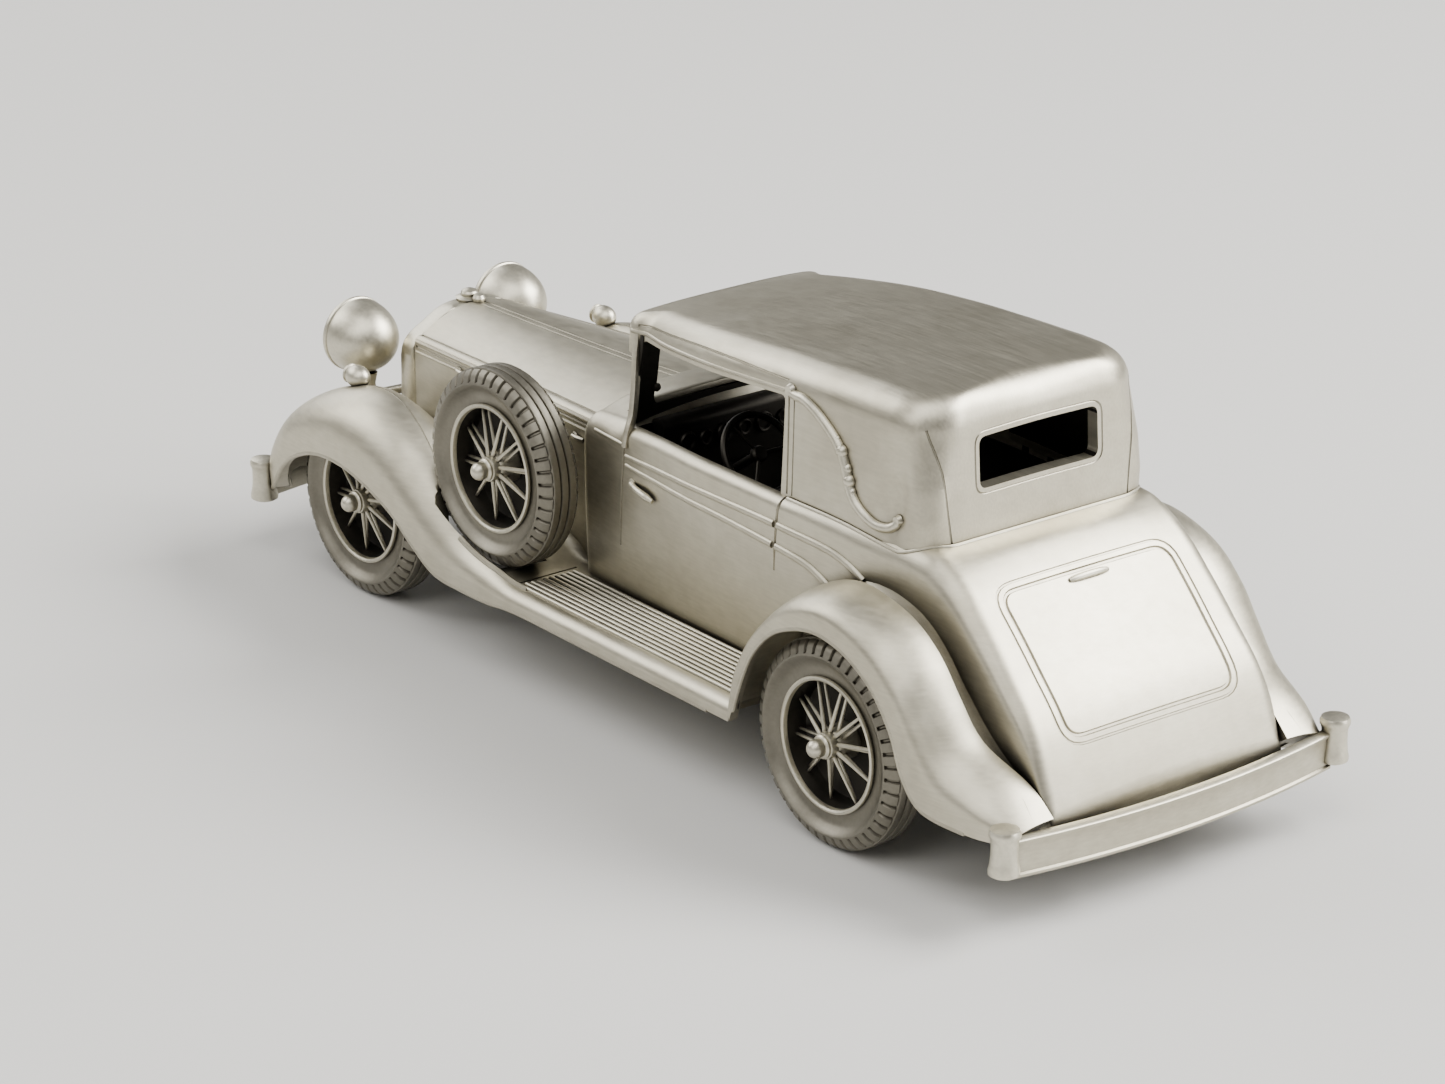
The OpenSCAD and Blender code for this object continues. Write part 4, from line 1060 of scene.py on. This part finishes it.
def seat(x, y, width, back_height):
    """A cushion and a leaning back, both rolled at their edges and sewn into upright flutes."""
    flutes = 5

    def pad(outline):
        middle = outline.mean(0)
        rows = []
        for t in np.linspace(-1, 1, flutes * 6 + 1):
            pull = 1 - 0.09 * abs(t) ** 8
            puff = 1 + 0.035 * abs(math.cos(math.pi * flutes * (t + 1) / 2))
            shape = middle + (outline - middle) * pull * puff
            rows.append([(x + px, y + t * width / 2, FLOOR_Z + pz) for px, pz in shape])
        return skin(rows)

    cushion = rounded([(0.2, 0.3), (7.0, 0.3), (7.2, 3.2), (6.5, 3.8), (0.6, 3.5)], 0.9, 5)
    back = rounded([(-0.6, 2.8), (1.3, 2.9), (0.3, back_height), (-1.2, back_height)], 0.7, 5)
    return join(pad(cushion), pad(back))


panel, dials = dashboard()
piece("windscreen_frame_cast", windscreen_frame(), "pewter", ["windscreen_frame"])
# The inner faces, the plate and the knobs take the nearly black finish as painted shade.
piece("windscreen_inner_posts", windscreen_posts(), "dark_pewter", ["windscreen_frame"])
# The dashboard, dials, steering wheel and seats take the nearly black finish as painted shade deep in the
# cabin.
piece("dashboard_panel", panel, "dark_pewter", ["dashboard"])
piece("dashboard_dials", dials, "dark_pewter", ["dashboard"])
piece("steering_wheel_ring", steering_wheel(), "dark_pewter", ["steering_wheel"])
piece("front_seats_fluted", both_sides(seat(-14.5, 5, 8.4, 10.4)), "dark_pewter", ["front_seats"])
piece("rear_seat_fluted", seat(-30.4, 0, 18.8, 10.8), "dark_pewter", ["rear_seat"])


# ---- Trim ----

def landau_iron():
    """An S-shaped iron: a pivot at the top, a long lumpy knuckle half-way and a curl at the foot."""
    route = [(-18.3, 35.2), (-18.5, 34.8), (-19.2, 34.7), (-20.3, 34.65), (-22, 34.0), (-23.7, 32.95),
             (-24.9, 31.9), (-25.8, 30.4), (-26.3, 29), (-27.1, 27.9), (-28.1, 27.2), (-29.5, 26.7),
             (-30.8, 26.7), (-31.5, 27.1), (-31.7, 27.6)]
    path = on_roof.drape(spline([(x, 0, z) for x, z in route], 6), ACROSS, -0.06)
    share = np.linspace(0, 1, len(path))
    iron = tube(path, 0.4 + 0.1 * np.sin(math.pi * share) ** 2, 12)
    bosses = [lathe([(0, -0.45), (r, -0.4), (r + 0.14, 0), (r, 0.36), (0, 0.4)], "y", p, 18)
              for r, p in ((0.42, path[3]), (0.36, path[-2]))]
    knuckle = []
    for s, r in ((0.4, 0.46), (0.45, 0.62), (0.5, 0.52), (0.55, 0.64), (0.6, 0.48)):
        ball = [(r * math.sin(t), -0.85 * r * math.cos(t)) for t in np.radians(np.linspace(0, 180, 13))]
        knuckle.append(lathe(ball, "y", path[int(s * (len(path) - 1))] + (-0.1, 0.02, 0), 20))
    return join(iron, *bosses, *knuckle)


def door_handle():
    """A lever that stands off the door, on a round rose."""
    base = on_body.drape([(2.6, 0, 20.4), (1.5, 0, 20.4), (0.2, 0, 20.3), (-1.0, 0, 20.1)], ACROSS)
    grip = spline(base + np.array([(0, 0.15, 0), (0, 0.45, 0), (0, 0.5, 0), (0, 0.3, -0.05)]), 5)
    radii = np.interp(np.linspace(0, 1, len(grip)), [0, 0.15, 0.8, 1], [0.32, 0.3, 0.33, 0.2])
    rose = lathe([(0, -0.1), (0.55, -0.05), (0.5, 0.16), (0, 0.26)], "y", base[0], 24)
    return join(tube(grip, radii, 12), rose)


def boot_handle():
    """A bowed bar on two feet, thinner towards its ends."""
    half = 2.1
    ys = np.linspace(-half, half, 15)
    path = [(-41.25 - 0.1 * (1 - (y / half) ** 2), y, 22.95 + 0.12 * (1 - (y / half) ** 2)) for y in ys]
    feet = [tube([(-41.1, y, 22.3), (-41.25, y, 22.95)], 0.22, 8) for y in (-1.6, 1.6)]
    return join(tube(path, 0.3 * (1 - 0.35 * (ys / half) ** 4), 10), *feet)


def bonnet_catches():
    """Two small levers a side, each on a round boss."""
    parts, z = [], 20.6
    for x in (14.2, 34.2):
        y = float(bonnet_side(x))
        lever = [(x - 0.8, y + 0.12, z), (x, y + 0.26, z), (x + 0.8, y + 0.12, z)]
        boss = [(0, -0.2), (0.42, -0.05), (0.36, 0.12), (0, 0.18)]
        parts += [tube(lever, (0.2, 0.28, 0.2), 10), lathe(boss, "y", (x + 0.6, y + 0.05, z), 18)]
    return both_sides(join(*parts))


for side, turn in SIDES:
    piece(f"landau_iron_{side}_forged", turn(landau_iron()), "bright_pewter", [f"landau_iron_{side}"])
    piece(f"door_handle_{side}_lever", turn(door_handle()), "bright_pewter", [f"door_handle_{side}"])
piece("boot_handle_bar", boot_handle(), "bright_pewter", ["boot_handle"])
piece("bonnet_catches_turned", bonnet_catches(), "bright_pewter", ["bonnet_catches"])

# Pieces whose CAD shape is shown as it is, in a finish from above; those in the nearly black finish take it
# as painted shade under and inside the car.
CARRIED_OVER = {"base_plate": "dark_pewter", "base_screws": "steel", "front_bumper_irons": "dark_pewter",
                "rear_bumper_irons": "dark_pewter", "steering_column": "dark_pewter", "front_axle": "steel",
                "rear_axle": "steel"}
for node, slot in CARRIED_OVER.items():
    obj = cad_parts[node]
    obj.data.materials.clear()
    obj.data.materials.append(MATERIALS[slot])


# ---- Floor, light and camera ----

def floor():
    """A plain pale floor under the tyres."""
    mesh = bpy.data.meshes.new("studio_floor")
    size = 3.0
    corners = [(-size, -size, 0), (size, -size, 0), (size, size, 0), (-size, size, 0)]
    mesh.from_pydata(corners, [], [(0, 1, 2, 3)])
    obj = added("studio_floor", mesh)
    material = bpy.data.materials.new("floor")
    material.use_nodes = True
    shader = material.node_tree.nodes["Principled BSDF"]
    shader.inputs["Base Color"].default_value = (0.60, 0.595, 0.58, 1)
    shader.inputs["Roughness"].default_value = 0.75
    mesh.materials.append(material)


WARM_WHITE = (1.0, 0.985, 0.955)


def softbox(name, place, size, power, colour=WARM_WHITE):
    """A soft rectangular light, facing the car."""
    light = bpy.data.lights.new(name, "AREA")
    light.shape = "RECTANGLE"
    light.size, light.size_y = size
    light.energy = power
    light.color = colour
    obj = added(name, light)
    obj.location = place
    obj.rotation_euler = (-Vector(place)).to_track_quat("-Z", "Y").to_euler()


def camera():
    """The photograph's camera, worked out from the wheels, lamps and bumpers."""
    eye = Vector((-309.08, 253.52, 170.02)) * MM
    yaw, pitch, roll = -0.67754, 0.374689, 0.01054
    ahead = Vector((math.cos(yaw) * math.cos(pitch), math.sin(yaw) * math.cos(pitch), -math.sin(pitch)))
    side = ahead.cross(Vector((0, 0, 1))).normalized()
    up = side.cross(ahead)
    right = side * math.cos(roll) + up * math.sin(roll)
    top = up * math.cos(roll) - side * math.sin(roll)
    data = bpy.data.cameras.new("camera")
    data.sensor_width = 36
    data.lens = 121.99
    data.clip_start = 0.01
    obj = added("camera", data)
    turn = Matrix((right, top, -ahead)).transposed().to_4x4()
    obj.matrix_world = Matrix.Translation(eye) @ turn
    bpy.context.scene.camera = obj


floor()
softbox("key", (-0.27, -0.40, 0.46), (0.46, 0.36), 9.4)
softbox("tail_fill", (-0.62, -0.44, 0.22), (0.3, 0.3), 2.3)
softbox("left_fill", (-0.10, 0.62, 0.42), (0.5, 0.3), 1.3, (1.0, 0.98, 0.94))
softbox("front_rim", (0.62, -0.10, 0.34), (0.3, 0.4), 1.4, (1, 1, 1))
softbox("overhead", (-0.16, 0.24, 0.62), (0.5, 0.5), 2.6)
softbox("front_left", (0.56, 0.32, 0.47), (0.45, 0.45), 3.4)
world = bpy.data.worlds.new("studio")
world.use_nodes = True
sky = world.node_tree.nodes["Background"]
sky.inputs["Color"].default_value = (0.62, 0.62, 0.61, 1)
sky.inputs["Strength"].default_value = 0.3
bpy.context.scene.world = world
camera()
